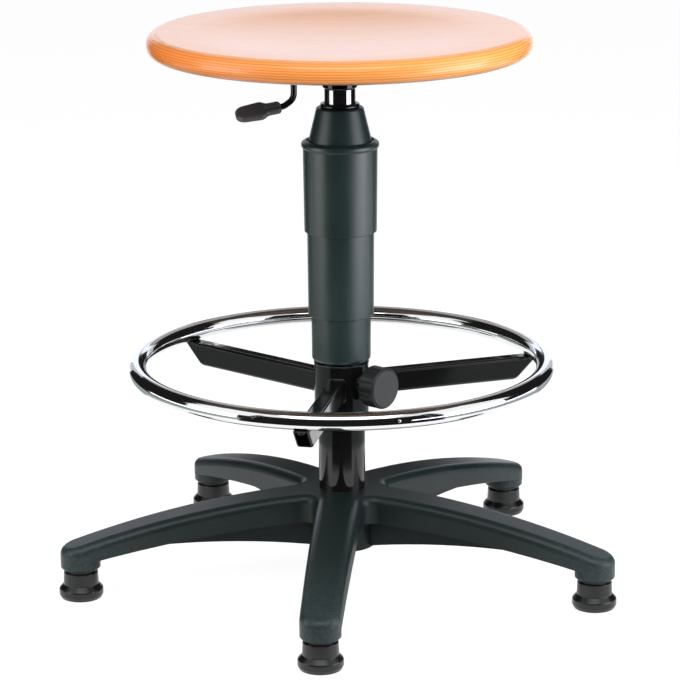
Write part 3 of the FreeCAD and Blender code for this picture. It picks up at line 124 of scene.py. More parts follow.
def seen_or_mirrored(tree):
    """1 for rays from the camera, from glossy surfaces and through clear ones."""
    path = add_node(tree, "ShaderNodeLightPath").outputs
    total = path["Is Camera Ray"]
    for ray in ("Is Glossy Ray", "Is Transmission Ray"):
        both = {0: total, 1: path[ray]}
        total = add_node(tree, "ShaderNodeMath", both, operation="ADD", use_clamp=True).outputs[0]
    return total


floor_finish = bpy.data.materials.new("white_sweep")
floor_finish.use_nodes = True
floor_tree = floor_finish.node_tree
floor_tree.nodes.remove(floor_tree.nodes["Principled BSDF"])
lit = add_node(floor_tree, "ShaderNodeBsdfDiffuse", Color=(*grey(FLOOR_LIT_SHARE), 1.0)).outputs[0]
own = add_node(floor_tree, "ShaderNodeEmission", Strength=FLOOR_OWN_WHITE).outputs[0]
pale = add_node(floor_tree, "ShaderNodeAddShader", {0: lit, 1: own}).outputs[0]
plain = add_node(floor_tree, "ShaderNodeBsdfDiffuse", Color=(*grey(FLOOR_BOUNCE), 1.0)).outputs[0]
mixed = add_node(floor_tree, "ShaderNodeMixShader", {0: seen_or_mirrored(floor_tree), 1: plain, 2: pale})
floor_tree.links.new(mixed.outputs[0], floor_tree.nodes["Material Output"].inputs["Surface"])

floor_mesh = bmesh.new()
bmesh.ops.create_grid(floor_mesh, x_segments=1, y_segments=1, size=FLOOR_HALF)
floor_data = bpy.data.meshes.new("studio_floor")
floor_mesh.to_mesh(floor_data)
floor_mesh.free()
floor_data.materials.append(floor_finish)
floor = bpy.data.objects.new("studio_floor", floor_data)
scene.collection.objects.link(floor)
print("floor:", 2 * FLOOR_HALF, "m square")

# %% [markdown]
# ## The air
# The air round the stool works as the floor does. A picture of a room could light it, but its windows would
# show in the chrome, so the air is plain: white to the camera and in mirrors, and a soft light on the stool.

# %% Light the surroundings
WORLD_SOFT_LIGHT = 0.38

world = bpy.data.worlds.new("studio_air")
world.use_nodes = True
air = world.node_tree
soft = air.nodes["Background"]
soft.inputs["Color"].default_value = (*WHITE, 1.0)
soft.inputs["Strength"].default_value = WORLD_SOFT_LIGHT
white = add_node(air, "ShaderNodeBackground", Color=(*WHITE, 1.0), Strength=1.0)
either = {0: seen_or_mirrored(air), 1: soft.outputs[0], 2: white.outputs[0]}
choice = add_node(air, "ShaderNodeMixShader", either)
air.links.new(choice.outputs[0], air.nodes["World Output"].inputs["Surface"])
scene.world = world
print("soft light from all round:", WORLD_SOFT_LIGHT)

# %% [markdown]
# ## Softboxes
# Two tall softboxes stand left and right of the stool, a broad one hangs high in front, and a fill lights
# the shadows. A lamp does two jobs at once: it lights the stool, and it shows in whatever shines. One lamp
# seldom does both well, so the sides and the fill only light, and the mirror images come from the cloths
# below. Only the high one shows in the gloss, too.

# %% Hang the softboxes
STOOL_MIDDLE = Vector((0.0, 0.0, 0.36))
COVER_MIDDLE = Vector((0.0, 0.0, 0.40))
LEFT_TINT = (1.0, 0.975, 0.95)
RIGHT_TINT = (0.92, 0.91, 1.0)
SIDE_PLACE = {"height": 18, "distance": 1.25, "at": COVER_MIDDLE}


def toward(side_degrees, height_degrees):
    """A direction from the stool: 0 is the camera's side, positive is to the right."""
    side = math.radians(side_degrees)
    height = math.radians(height_degrees)
    flat = math.cos(height)
    return Vector((math.sin(side) * flat, -math.cos(side) * flat, math.sin(height)))


def hang_softbox(name, side, height, distance, size, glow, tint=WHITE, at=STOOL_MIDDLE):
    lamp = bpy.data.lights.new(name, "AREA")
    lamp.shape = "RECTANGLE"
    lamp.size, lamp.size_y = size
    lamp.energy = glow * math.pi * size[0] * size[1]
    lamp.color = tint
    box = bpy.data.objects.new(name, lamp)
    out = toward(side, height)
    turn = (-out).to_track_quat("-Z", "Y").to_matrix().to_4x4()
    box.matrix_world = Matrix.Translation(at + out * distance) @ turn
    box.visible_camera = False
    scene.collection.objects.link(box)
    return box


light_only = [
    hang_softbox("left_softbox", side=-66, size=(0.91, 1.55), glow=2.05, tint=LEFT_TINT, **SIDE_PLACE),
    hang_softbox("right_softbox", side=72, size=(1.06, 1.55), glow=3.8, tint=RIGHT_TINT, **SIDE_PLACE),
    hang_softbox("front_fill", side=0, height=24, distance=3.0, size=(2.2, 1.8), glow=1.4),
]
for lamp_box in light_only:
    lamp_box.visible_glossy = False
high_box = hang_softbox("high_softbox", side=0, height=50, distance=2.2, size=(2.0, 1.22), glow=2.0)
print("lamps that only light:", len(light_only), "lamp that also shows:", high_box.name)

# %% [markdown]
# ## Cloths and cards
# A photographer hangs cloths just outside the picture, so that shiny things have something to mirror. They
# could be lamps, but a lamp would light the stool as well. A glowing cloth that only glossy rays can see
# changes the reflections and nothing else. Each cloth below is one tone and one tint.

# %% Dye the cloths
def start_finish(name):
    finish = bpy.data.materials.new(name)
    finish.use_nodes = True
    return finish, finish.node_tree, finish.node_tree.nodes["Principled BSDF"]


def flag_cloth(name, tone, tint):
    finish, tree, shader = start_finish(name)
    shader.inputs["Base Color"].default_value = (0.0, 0.0, 0.0, 1.0)
    shader.inputs["Specular IOR Level"].default_value = 0.0
    shader.inputs["Emission Color"].default_value = (*grey(tone, tint), 1.0)
    shader.inputs["Emission Strength"].default_value = 1.0
    return finish


CLOTH_TONES = {
    "black_flag_cloth": (0.012, WHITE),
    "brown_flag_cloth": (0.06, (1.0, 0.86, 0.75)),
    "dim_flag_cloth": (0.40, (0.88, 1.0, 0.98)),
    "grey_flag_cloth": (0.40, (1.0, 0.95, 0.90)),
    "floor_shadow_cloth": (0.45, WHITE),
    "daylight_card": (1.22, (0.89, 0.92, 1.04)),
    "side_high_cloth": (1.1, WHITE),
    "left_low_cloth": (2.4, LEFT_TINT),
    "left_wing_cloth": (2.4, LEFT_TINT),
    "right_low_cloth": (4.2, RIGHT_TINT),
    "right_wing_cloth": (3.0, RIGHT_TINT),
    "lit_cloth": (1.6, RIGHT_TINT),
}
cloths = {name: flag_cloth(name, tone, tint) for name, (tone, tint) in CLOTH_TONES.items()}
print("cloths:", len(cloths))

# %% [markdown]
# Bright cards stand at both sides and draw the pair of upright stripes on the socket and the soft bands on
# the cover. Above seat height they are dimmer, so the lacquer keeps its colour from every side, and low
# wings beside them widen the bands on the cover. A cloth could be a flat plane, but its ends would then be
# farther from the stool than its middle, so one edge is swept round the stool with a spin.

# %% Hang the bright cards
SWEEP_STEPS = 32
CARD_FOOT = (1.43, 0.05)
CARD_SPLIT = (1.25, 0.60)
CARD_TOP = (0.95, 1.52)
WING_FOOT = (1.44, 0.05)
WING_TOP = (1.41, 0.15)


def hang_flag(name, cloth, ends, from_side, to_side):
    """A cloth made from one edge, given by its two ends as (distance, height), swept round the stool."""
    sheet = bmesh.new()
    start = toward(from_side, 0)
    corners = [sheet.verts.new(start * distance + Vector((0, 0, height))) for distance, height in ends]
    edge = sheet.edges.new(corners)
    swing = to_side - from_side
    bmesh.ops.spin(sheet, geom=[*corners, edge], cent=(0, 0, 0), axis=(0, 0, 1), angle=math.radians(swing),
                   steps=SWEEP_STEPS, use_merge=swing == 360)
    data = bpy.data.meshes.new(name)
    sheet.to_mesh(data)
    sheet.free()
    data.materials.append(cloths[cloth])
    flag = bpy.data.objects.new(name, data)
    flag.visible_camera = flag.visible_diffuse = False
    flag.visible_transmission = flag.visible_shadow = flag.visible_volume_scatter = False
    scene.collection.objects.link(flag)


# name, cloth, the edge's two ends, and the sides in degrees that it is swept from and to
CARDS = [
    ("left_low_card", "left_low_cloth", (CARD_FOOT, CARD_SPLIT), -82, -52),
    ("left_high_card", "side_high_cloth", (CARD_SPLIT, CARD_TOP), -86, -46),
    ("right_low_card", "right_low_cloth", (CARD_FOOT, CARD_SPLIT), 51, 88),
    ("right_high_card", "side_high_cloth", (CARD_SPLIT, CARD_TOP), 49, 95),
    ("right_front_wing", "right_wing_cloth", (WING_FOOT, WING_TOP), 34, 51),
    ("right_rear_wing", "right_wing_cloth", (WING_FOOT, WING_TOP), 88, 118),
    ("left_rear_wing", "left_wing_cloth", (WING_FOOT, WING_TOP), -114, -82),
]
for row in CARDS:
    hang_flag(*row)
print("cards hung:", len(CARDS))

# %% [markdown]
# Black gloss looks black only if it mirrors something black. The whole room could be black, but then the
# chrome would have nothing bright in it, so upright black flags stand in front and at the sides, and above
# them the air stays white. Behind the sides they are taller, for the far half of the ring.

# %% Stand the black flags
FLAG_FOOT = 0.02
FLAG_RADIUS = 3.4
FRONT_RADIUS = 3.9
FRONT_TOP = 2.9
SIDE_TOP = 3.0
REAR_TOP = 5.2


def upright(distance, top, foot=FLAG_FOOT):
    return (distance, foot), (distance, top)


BLACK_FLAGS = [
    ("front_flag", "black_flag_cloth", upright(FRONT_RADIUS, FRONT_TOP), -46, 46),
    ("left_flag", "black_flag_cloth", upright(FLAG_RADIUS, SIDE_TOP), -100, -46),
    ("left_rear_flag", "black_flag_cloth", upright(FLAG_RADIUS, REAR_TOP), -158, -100),
    ("right_flag", "black_flag_cloth", upright(FLAG_RADIUS, SIDE_TOP), 46, 100),
    ("right_rear_flag", "black_flag_cloth", upright(FLAG_RADIUS, REAR_TOP), 100, 158),
]
for row in BLACK_FLAGS:
    hang_flag(*row)
print("black flags:", len(BLACK_FLAGS))

# %% [markdown]
# The foot ring has a thin brown line along its top, which is the studio's ceiling. A brown band could be
# painted on the ring, but it would turn with the ring, so brown cloths hang above and the chrome finds them.

# %% Hang the ceiling
CEILING = 3.3
CEILING_HOLE = 0.02
CEILING_INNER = 1.6
CEILING_OUTER = 2.5
CEILING_REAR = 2.6


def level(height, near, far):
    return (near, height), (far, height)


CEILING_FLAGS = [
    ("ceiling_flag", "brown_flag_cloth", level(CEILING, CEILING_HOLE, CEILING_INNER), 0, 360),
    ("rear_ceiling_flag", "brown_flag_cloth", level(CEILING, CEILING_INNER, CEILING_REAR), 100, 260),
    ("left_ceiling_flag", "brown_flag_cloth", level(CEILING, CEILING_INNER, CEILING_OUTER), -100, -52),
    ("right_ceiling_flag", "brown_flag_cloth", level(CEILING, CEILING_INNER, CEILING_OUTER), 52, 100),
]
for row in CEILING_FLAGS:
    hang_flag(*row)
print("ceiling flags:", len(CEILING_FLAGS))

# %% [markdown]
# Seen from low in front, the seat's lacquer mirrors what stands behind the stool. A white card there washes
# the seat with daylight, a grey cloth above it keeps the wash from the rim, and a low black flag darkens
# the ring's upper edge. Making the wood itself paler would look washed out from the other sides, too.

# %% Set the cards behind
BACK_CARD_TOP = 1.62
BACK_LOW_RADIUS = 1.2
BACK_LOW_TOP = 0.60

BACK_FLAGS = [
    ("back_low_flag", "black_flag_cloth", upright(BACK_LOW_RADIUS, BACK_LOW_TOP), 168, 192),
    ("back_card", "daylight_card", upright(FLAG_RADIUS, BACK_CARD_TOP), 150, 210),
    ("back_high_flag", "grey_flag_cloth", upright(FLAG_RADIUS, REAR_TOP, BACK_CARD_TOP), 158, 202),
]
for row in BACK_FLAGS:
    hang_flag(*row)
print("cards behind:", len(BACK_FLAGS))

# %% [markdown]
# The camera looks down a little, so upright surfaces mirror the floor in front of them. Cloths on the floor
# give the ring its dark band and the column its dark middle. The floor could be darker instead, but the
# camera sees the floor, and these cloths it doesn't see. On the right a lit one carries the cover's bright
# band down to the hub.

# %% Lay the floor cloths
ON_FLOOR = 0.003
FLOOR_HOLE = 0.02
FLOOR_SHADOW_END = 0.20
FRONT_START = 0.42
DIM_START = 0.50
DIM_END = 1.3
LIT_START = 1.0
LIT_END = 1.42
FLOOR_END = 8.0

FLOOR_FLAGS = [
    # painted shade: a dim cloth under the stool stands in, in reflections, for the floor's shadow there
    ("floor_shadow_flag", "floor_shadow_cloth", level(ON_FLOOR, FLOOR_HOLE, FLOOR_SHADOW_END), 0, 360),
    ("front_floor_flag", "black_flag_cloth", level(ON_FLOOR, FRONT_START, FLOOR_END), -48, 34),
    ("front_side_flag", "black_flag_cloth", level(ON_FLOOR, FRONT_START, LIT_START), 34, 48),
    ("front_far_flag", "black_flag_cloth", level(ON_FLOOR, LIT_END, FLOOR_END), 34, 48),
    ("right_floor_flag", "dim_flag_cloth", level(ON_FLOOR, DIM_START, LIT_START), 48, 150),
    ("right_lit_flag", "lit_cloth", level(ON_FLOOR, LIT_START, LIT_END), 34, 118),
    ("right_side_flag", "dim_flag_cloth", level(ON_FLOOR, LIT_START, DIM_END), 118, 150),
    ("left_floor_flag", "dim_flag_cloth", level(ON_FLOOR, DIM_START, DIM_END), -150, -48),
    ("right_far_flag", "black_flag_cloth", level(ON_FLOOR, LIT_END, FLOOR_END), 48, 150),
    ("left_far_flag", "black_flag_cloth", level(ON_FLOOR, DIM_END, FLOOR_END), -150, -48),
]
for row in FLOOR_FLAGS:
    hang_flag(*row)
print("floor cloths:", len(FLOOR_FLAGS))

# %% [markdown]
# ## Helpers for patterns
# Wood, grained plastic and orange peel are all noise, stretched, coloured or pressed into the surface. The
# patterns could be painted pictures, but noise on Object coordinates has a true size in metres, so a grain
# keeps its size on every piece. These helpers each add one step of such a pattern.

# %% Helpers for patterns
def object_coords(tree, scale=(1.0, 1.0, 1.0), shift=(0.0, 0.0, 0.0)):
    place = add_node(tree, "ShaderNodeTexCoord").outputs["Object"]
    mapping = add_node(tree, "ShaderNodeMapping", {"Vector": place}, Scale=scale, Location=shift)
    return mapping.outputs["Vector"]


def place_along(tree, axis):
    place = add_node(tree, "ShaderNodeTexCoord").outputs["Object"]
    return add_node(tree, "ShaderNodeSeparateXYZ", {"Vector": place}).outputs[axis]


def noise(tree, coords, scale, detail=3.0, rough=0.5):
    options = {"Scale": scale, "Detail": detail, "Roughness": rough}
    return add_node(tree, "ShaderNodeTexNoise", {"Vector": coords}, **options).outputs["Fac"]


def reckon(tree, operation, *values):
    """One step of arithmetic; each value is a socket or a plain number."""
    node = add_node(tree, "ShaderNodeMath", operation=operation)
    for socket, value in zip(node.inputs, values):
        if isinstance(value, float):
            socket.default_value = value
        else:
            tree.links.new(value, socket)
    return node.outputs[0]


def spread(tree, value, low, high, start=0.3, end=0.7):
    """Stretches a value from start and end to low and high, and keeps it between them."""
    limits = {"From_Min": start, "From_Max": end, "To_Min": low, "To_Max": high}
    return add_node(tree, "ShaderNodeMapRange", {"Value": value}, **limits).outputs["Result"]


def bump(tree, height, depth, strength=1.0, under=None):
    feed = {"Height": height}
    if under is not None:
        feed["Normal"] = under
    return add_node(tree, "ShaderNodeBump", feed, Distance=depth, Strength=strength).outputs["Normal"]


print("pattern helpers ready")

# %% [markdown]
# A pattern is only a number from 0 to 1 until it has a colour. A ramp turns the number into colours, and a
# mix lays one colour over another. Blender's mix node has a set of sockets for each kind of data, and the
# colours are the ones numbered 6 and 7, so the helper hides those numbers.

# %% Helpers for colours
FIRST_COLOUR = 6
SECOND_COLOUR = 7
MIXED_COLOUR = 2


def colour_ramp(tree, value, stops):
    ramp = add_node(tree, "ShaderNodeValToRGB", {"Fac": value})
    elements = ramp.color_ramp.elements
    while len(elements) < len(stops):
        elements.new(0.5)
    for element, (place, colour) in zip(elements, stops):
        element.position = place
        element.color = (*colour, 1.0)
    return ramp.outputs["Color"]


def mix_colours(tree, share, first, second, blend="MIX"):
    """Blends two colours; each of them is a socket or a plain colour."""
    node = add_node(tree, "ShaderNodeMix", {0: share}, data_type="RGBA", blend_type=blend)
    for place, colour in ((FIRST_COLOUR, first), (SECOND_COLOUR, second)):
        if isinstance(colour, tuple):
            node.inputs[place].default_value = (*colour, 1.0)
        else:
            tree.links.new(colour, node.inputs[place])
    return node.outputs[MIXED_COLOUR]


print("colour helpers ready")

# %% [markdown]
# ## Lacquered beech plywood
# The seat is pressed from thin beech veneers and lacquered. Its top shows straight grain with short dark
# flecks. Grain like that could be a photograph of wood wrapped round the board, but stretched noise gives
# long fibres at any size and never repeats, and a second pattern, of stretched cells, gives the flecks.

# %% Beech veneer on top
GRAIN_SCALE = 95.0
GRAIN_STRETCH = (0.09, 1.0, 1.0)
FLECK_SCALE = 330.0
FLECK_STRETCH = (0.11, 1.0, 1.0)
FLECK_SHIFT = (0.3, 0.1, 0.0)
FLECK_COLOUR = (0.62, 0.45, 0.33)
VENEER_STOPS = [(0.30, (0.82, 0.36, 0.140)), (0.52, (0.88, 0.41, 0.170)), (0.72, (0.91, 0.45, 0.200))]

beech_ply, tree, shader = start_finish("beech_ply")
grain = noise(tree, object_coords(tree, GRAIN_STRETCH), GRAIN_SCALE, detail=5.0, rough=0.62)
veneer = colour_ramp(tree, grain, VENEER_STOPS)
fleck_coords = object_coords(tree, FLECK_STRETCH, FLECK_SHIFT)
cells = add_node(tree, "ShaderNodeTexVoronoi", {"Vector": fleck_coords}, Scale=FLECK_SCALE, feature="F1")
flecks = spread(tree, cells.outputs["Distance"], low=0.55, high=0.0, start=0.05, end=0.22)
top_colour = mix_colours(tree, flecks, veneer, FLECK_COLOUR, "MULTIPLY")
print("fleck size:", round(1000 / FLECK_SCALE, 1), "mm across the grain")

# %% [markdown]
# The rounded edge cuts through the layers, so thin lines run round it. It could be unwrapped and painted, but
# the layers are level, so bands along the height give them exactly, with a slow noise that lets them waver.
# The edge is painted darker and redder on its left, as painted shade where less light falls, so two sets of
# bands are blended across.

# %% Plies on the edge
PLY_THICKNESS = 0.0013
PLY_WAVER = 0.5
WAVER_SCALE = 3.0
SHADE_FULL_X = -0.17
SHADE_NONE_X = 0.12
BAND_PLACES = (0.0, 0.10, 0.55, 0.66, 0.92, 1.0)
PALE_BANDS = ((0.67, 0.217, 0.035), (0.92, 0.400, 0.100), (0.95, 0.439, 0.120),
              (0.80, 0.285, 0.053), (0.83, 0.304, 0.058), (0.67, 0.217, 0.035))
SHADED_BANDS = ((0.59, 0.137, 0.023), (0.86, 0.269, 0.059), (0.89, 0.288, 0.068),
             (0.73, 0.194, 0.034), (0.77, 0.213, 0.039), (0.59, 0.137, 0.023))

layer = reckon(tree, "DIVIDE", place_along(tree, "Z"), 2 * PLY_THICKNESS)
sway = noise(tree, object_coords(tree), WAVER_SCALE, detail=2.0)
band_place = reckon(tree, "FRACT", reckon(tree, "MULTIPLY_ADD", sway, PLY_WAVER, layer))
pale_plies = colour_ramp(tree, band_place, list(zip(BAND_PLACES, PALE_BANDS)))
shaded_plies = colour_ramp(tree, band_place, list(zip(BAND_PLACES, SHADED_BANDS)))
# painted shade: the edge's bands turn darker and redder towards the left
left_shade = spread(tree, place_along(tree, "X"), low=1.0, high=0.0, start=SHADE_FULL_X, end=SHADE_NONE_X)
rim_colour = mix_colours(tree, left_shade, pale_plies, shaded_plies)
seat_low, seat_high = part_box("seat_board")
print("plies through the board:", round((seat_high[2] - seat_low[2]) / PLY_THICKNESS))

# %% [markdown]
# The surface's upward tilt tells top, edge and underside apart, so one finish can serve the whole board, and
# no faces have to be picked by hand. The picture doesn't show the underside; here it is painted dark, as
# painted shade for the shadow under the seat. The lacquer is the shader's coat: a clear layer over
# everything.

# %% Join top, edge and underside
UNDERSIDE_SHADE_STOPS = [(0.30, (0.10, 0.058, 0.034)), (0.70, (0.17, 0.105, 0.066))]
GRAIN_DEPTH = 0.00010
LACQUER_ROUGHNESS = 0.20
LACQUER_INDEX = 1.5

surface_normal = add_node(tree, "ShaderNodeNewGeometry").outputs["Normal"]
tilt_up = add_node(tree, "ShaderNodeSeparateXYZ", {"Vector": surface_normal}).outputs["Z"]
on_top = spread(tree, tilt_up, low=0.0, high=1.0, start=0.80, end=0.93)
# painted shade: the underside is darkened, standing in for the shadow under the seat
underside_shade = spread(tree, tilt_up, low=1.0, high=0.0, start=-0.95, end=-0.70)
wood = mix_colours(tree, on_top, rim_colour, top_colour)
board_colour = mix_colours(tree, underside_shade, wood, colour_ramp(tree, grain, UNDERSIDE_SHADE_STOPS))
tree.links.new(board_colour, shader.inputs["Base Color"])
tree.links.new(spread(tree, grain, low=0.30, high=0.40), shader.inputs["Roughness"])
tree.links.new(bump(tree, grain, GRAIN_DEPTH, strength=0.35), shader.inputs["Normal"])
shader.inputs["Specular IOR Level"].default_value = 0.1
shader.inputs["Coat Weight"].default_value = 1.0
shader.inputs["Coat Roughness"].default_value = LACQUER_ROUGHNESS
shader.inputs["Coat IOR"].default_value = LACQUER_INDEX
print("finish:", beech_ply.name)

# %% [markdown]
# ## Satin black plastics
# The cover, the base, the knob and the glides are moulded in black plastic with a fine spark-eroded grain.
# Such a grain breaks up a highlight without hiding it. Each plastic could have a tree of its own, but they
# differ only in tone, grain and gloss, so one function makes them all from a table.

# %% Mould the satin plastics
PATCH_SCALE = 11.0
TONE_SWING = 0.14
STREAK_SCALE = 420.0
STREAK_STRETCH = (1.0, 1.0, 0.02)


def satin_plastic(name, tone, tint, gloss, grain, depth, streaks=0.35, shine=0.6):
    finish, tree, shader = start_finish(name)
    place = object_coords(tree)
    patch = noise(tree, place, PATCH_SCALE)
    dark = grey(tone * (1 - TONE_SWING), tint)
    light = grey(tone * (1 + TONE_SWING), tint)
    tree.links.new(colour_ramp(tree, patch, [(0.30, dark), (0.70, light)]), shader.inputs["Base Color"])
    fine = noise(tree, place, 1.0 / grain, detail=2.0, rough=0.6)
    upright_streaks = noise(tree, object_coords(tree, STREAK_STRETCH), STREAK_SCALE, detail=2.0)
    blend = add_node(tree, "ShaderNodeMix", {2: patch, 3: upright_streaks}, data_type="FLOAT")
    blend.inputs[0].default_value = streaks
    tree.links.new(spread(tree, blend.outputs[0], *gloss), shader.inputs["Roughness"])
    tree.links.new(bump(tree, fine, depth, strength=0.6), shader.inputs["Normal"])
    shader.inputs["Specular IOR Level"].default_value = shine
    return finish


SATIN_PLASTICS = {
    "cover_plastic": dict(tone=0.025, tint=(0.40, 1.0, 0.97), gloss=(0.30, 0.39), grain=0.0011,
                          depth=0.00006, streaks=0.55, shine=0.9),
    "base_plastic": dict(tone=0.016, tint=(0.56, 1.0, 0.97), gloss=(0.31, 0.42), grain=0.0014,
                         depth=0.00018, shine=0.33),
    "glide_plastic": dict(tone=0.004, tint=(0.80, 1.0, 1.0), gloss=(0.24, 0.34), grain=0.0010,
                          depth=0.00005, shine=0.52),
    "knob_plastic": dict(tone=0.024, tint=(0.96, 1.0, 1.0), gloss=(0.38, 0.50), grain=0.0009, depth=0.00012),
    "grip_plastic": dict(tone=0.010, tint=(0.70, 1.0, 0.97), gloss=(0.34, 0.46), grain=0.0009,
                         depth=0.00008, shine=0.45),
    # painted light: the paddle's plastic is lighter than the other black plastics, standing in for light that
    # its top, under the seat, hardly gets
    "paddle_plastic_painted_light": dict(tone=0.072, tint=(1.0, 0.98, 0.99), gloss=(0.34, 0.46), grain=0.0012,
                           depth=0.00016, shine=0.8),
    "polished_black": dict(tone=0.005, tint=WHITE, gloss=(0.10, 0.18), grain=0.0016,
                           depth=0.00002, shine=0.8),
    "sole_plastic": dict(tone=0.20, tint=(1.0, 0.99, 0.97), gloss=(0.45, 0.65), grain=0.0020, depth=0.00010),
    "bush_plastic": dict(tone=0.55, tint=(1.0, 0.99, 0.93), gloss=(0.35, 0.50), grain=0.0020, depth=0.00005),
    "buffer_rubber": dict(tone=0.020, tint=WHITE, gloss=(0.65, 0.80), grain=0.0016, depth=0.00010),
}
finishes = {name: satin_plastic(name, **recipe) for name, recipe in SATIN_PLASTICS.items()}
print("satin plastics:", len(finishes))

# %% [markdown]
# The base is painted lighter towards the tips of its legs, broken up into specks. This could be painted by
# hand on each leg, but all five are alike, so it simply grows with the distance from the axis.

# %% Lighten the tips of the base
TIP_START = 0.20
TIP_END = 0.30
TIP_COLOUR = (0.038, 0.056, 0.058)
SPECK_SCALE = 300.0

base_tree = finishes["base_plastic"].node_tree
base_colour = base_tree.nodes["Principled BSDF"].inputs["Base Color"]
flat_place = object_coords(base_tree, scale=(1.0, 1.0, 0.0))
distance = add_node(base_tree, "ShaderNodeVectorMath", {0: flat_place}, operation="LENGTH").outputs["Value"]
reach_out = spread(base_tree, distance, low=0.0, high=1.0, start=TIP_START, end=TIP_END)
speck_noise = noise(base_tree, object_coords(base_tree), SPECK_SCALE, detail=4.0, rough=0.75)
specks = spread(base_tree, speck_noise, low=0.30, high=1.0, start=0.42, end=0.72)
# the base turns lighter towards its tips, in specks
tip_share = reckon(base_tree, "MULTIPLY", reach_out, specks)
tip_coloured = mix_colours(base_tree, tip_share, base_colour.links[0].from_socket, TIP_COLOUR)
base_tree.links.new(tip_coloured, base_colour)
print("lighter_tips from", TIP_START, "to", TIP_END, "m from the axis")

# %% [markdown]
# ## Black paint
# The column, hub, arms and lever are steel tube with a baked gloss black coat. Powder coat is never as flat
# as glass: it has a faint orange peel. A bump of a few hundredths of a millimetre at a 4 mm pitch makes the
# stripes of the cards waver just enough. The seat plate has the same paint with less gloss, and a black
# zinc coat on screws and pins is close enough to share the recipe.

# %% Bake the black paints
DUST_SCALE = 700.0
DUST_TINT = (1.0, 1.02, 1.05)
DUST_LIFT = 1.5
PEEL_SCALE = 240.0
HAZE_SCALE = 26.0
PAINT_COAT_ROUGHNESS = 0.06


def black_paint(name, tone, gloss, peel, coat):
    finish, tree, shader = start_finish(name)
    place = object_coords(tree)
    dust = noise(tree, place, DUST_SCALE, detail=2.0, rough=0.7)
    dusty = [(0.42, grey(tone)), (0.75, grey(tone * DUST_LIFT, DUST_TINT))]
    tree.links.new(colour_ramp(tree, dust, dusty), shader.inputs["Base Color"])
    orange_peel = noise(tree, place, PEEL_SCALE, detail=1.0)
    haze = noise(tree, place, HAZE_SCALE, detail=4.0)
    tree.links.new(spread(tree, haze, *gloss), shader.inputs["Roughness"])
    tree.links.new(bump(tree, orange_peel, peel, strength=0.5), shader.inputs["Normal"])
    shader.inputs["Coat Weight"].default_value = coat
    shader.inputs["Coat Roughness"].default_value = PAINT_COAT_ROUGHNESS
    return finish


BLACK_PAINTS = {
    "gloss_black_paint": dict(tone=0.005, gloss=(0.06, 0.11), peel=0.00003, coat=0.1),
    "plate_black_paint": dict(tone=0.020, gloss=(0.30, 0.42), peel=0.00005, coat=0.1),
    "black_zinc": dict(tone=0.014, gloss=(0.30, 0.45), peel=0.00002, coat=0.0),
}
for name, recipe in BLACK_PAINTS.items():
    finishes[name] = black_paint(name, **recipe)
print("black paints:", len(BLACK_PAINTS))

# %% [markdown]
# ## Chrome and bare metals
# The foot ring is bent tube, polished and chromed. A perfect mirror looks drawn, not made, so it gets the
# slow waviness of bent tube and a trace of haze where shoes have rubbed it. Turned steel and brass share a
# recipe with fine rings of tool marks.

# %% Polish the metals
METAL_HAZE_SCALE = 38.0
MARK_STRETCH = (0.05, 0.05, 1.0)
MARK_SCALE = 2400.0


def bright_metal(name, colour, gloss, wave, wave_scale, mark=0.0):
    finish, tree, shader = start_finish(name)
    place = object_coords(tree)
    haze = noise(tree, place, METAL_HAZE_SCALE, detail=5.0, rough=0.65)
    hazy = [(0.35, grey(0.94, colour)), (0.70, grey(1.0, colour))]
    tree.links.new(colour_ramp(tree, haze, hazy), shader.inputs["Base Color"])
    tree.links.new(spread(tree, haze, *gloss), shader.inputs["Roughness"])
    surface = bump(tree, noise(tree, place, wave_scale, detail=1.0), wave)
    if mark:
        tool_marks = noise(tree, object_coords(tree, MARK_STRETCH), MARK_SCALE, detail=2.0)
        surface = bump(tree, tool_marks, mark, strength=0.6, under=surface)
    tree.links.new(surface, shader.inputs["Normal"])
    shader.inputs["Metallic"].default_value = 1.0
    return finish


BRIGHT_METALS = {
    "ring_chrome": dict(colour=(0.84, 0.85, 0.86), gloss=(0.05, 0.10), wave=0.00006, wave_scale=30.0),
    "black_chrome": dict(colour=(0.46, 0.46, 0.47), gloss=(0.05, 0.10), wave=0.00003, wave_scale=40.0),
    "turned_steel": dict(colour=(0.55, 0.55, 0.56), gloss=(0.22, 0.34), wave=0.00002, wave_scale=60.0,
                         mark=0.00003),
    "turned_brass": dict(colour=(0.70, 0.50, 0.20), gloss=(0.24, 0.36), wave=0.00002, wave_scale=60.0,
                         mark=0.00003),
}
for name, recipe in BRIGHT_METALS.items():
    finishes[name] = bright_metal(name, **recipe)
print("metals:", len(BRIGHT_METALS))

# %% [markdown]
# The socket under the seat is black chrome, but its flared collar is darker. The collar could be a solid of
# its own, but on the real socket it is one turned piece, so the finish changes with the height instead.

# %% Darken the socket's collar
COLLAR_DEPTH = 0.0132
COLLAR_FADE = 0.0006
COLLAR_COLOUR = (0.045, 0.045, 0.048)

collar_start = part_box("taper_socket")[1][2] - COLLAR_DEPTH
socket_tree = finishes["black_chrome"].node_tree
socket_colour = socket_tree.nodes["Principled BSDF"].inputs["Base Color"]
painted = spread(socket_tree, place_along(socket_tree, "Z"), low=0.0, high=1.0,
                 start=collar_start - COLLAR_FADE, end=collar_start + COLLAR_FADE)
collared = mix_colours(socket_tree, painted, socket_colour.links[0].from_socket, COLLAR_COLOUR)
socket_tree.links.new(collared, socket_colour)
print("collar from", round(1000 * collar_start, 1), "mm up")

# %% [markdown]
# ## Dress the solids
# The record names a finish slot for every solid. Each solid could be given its finish by hand, but by slot a
# piece added to the stool later is dressed at once. A few solids share a slot with others and look
# different in the picture, so they are named one by one.

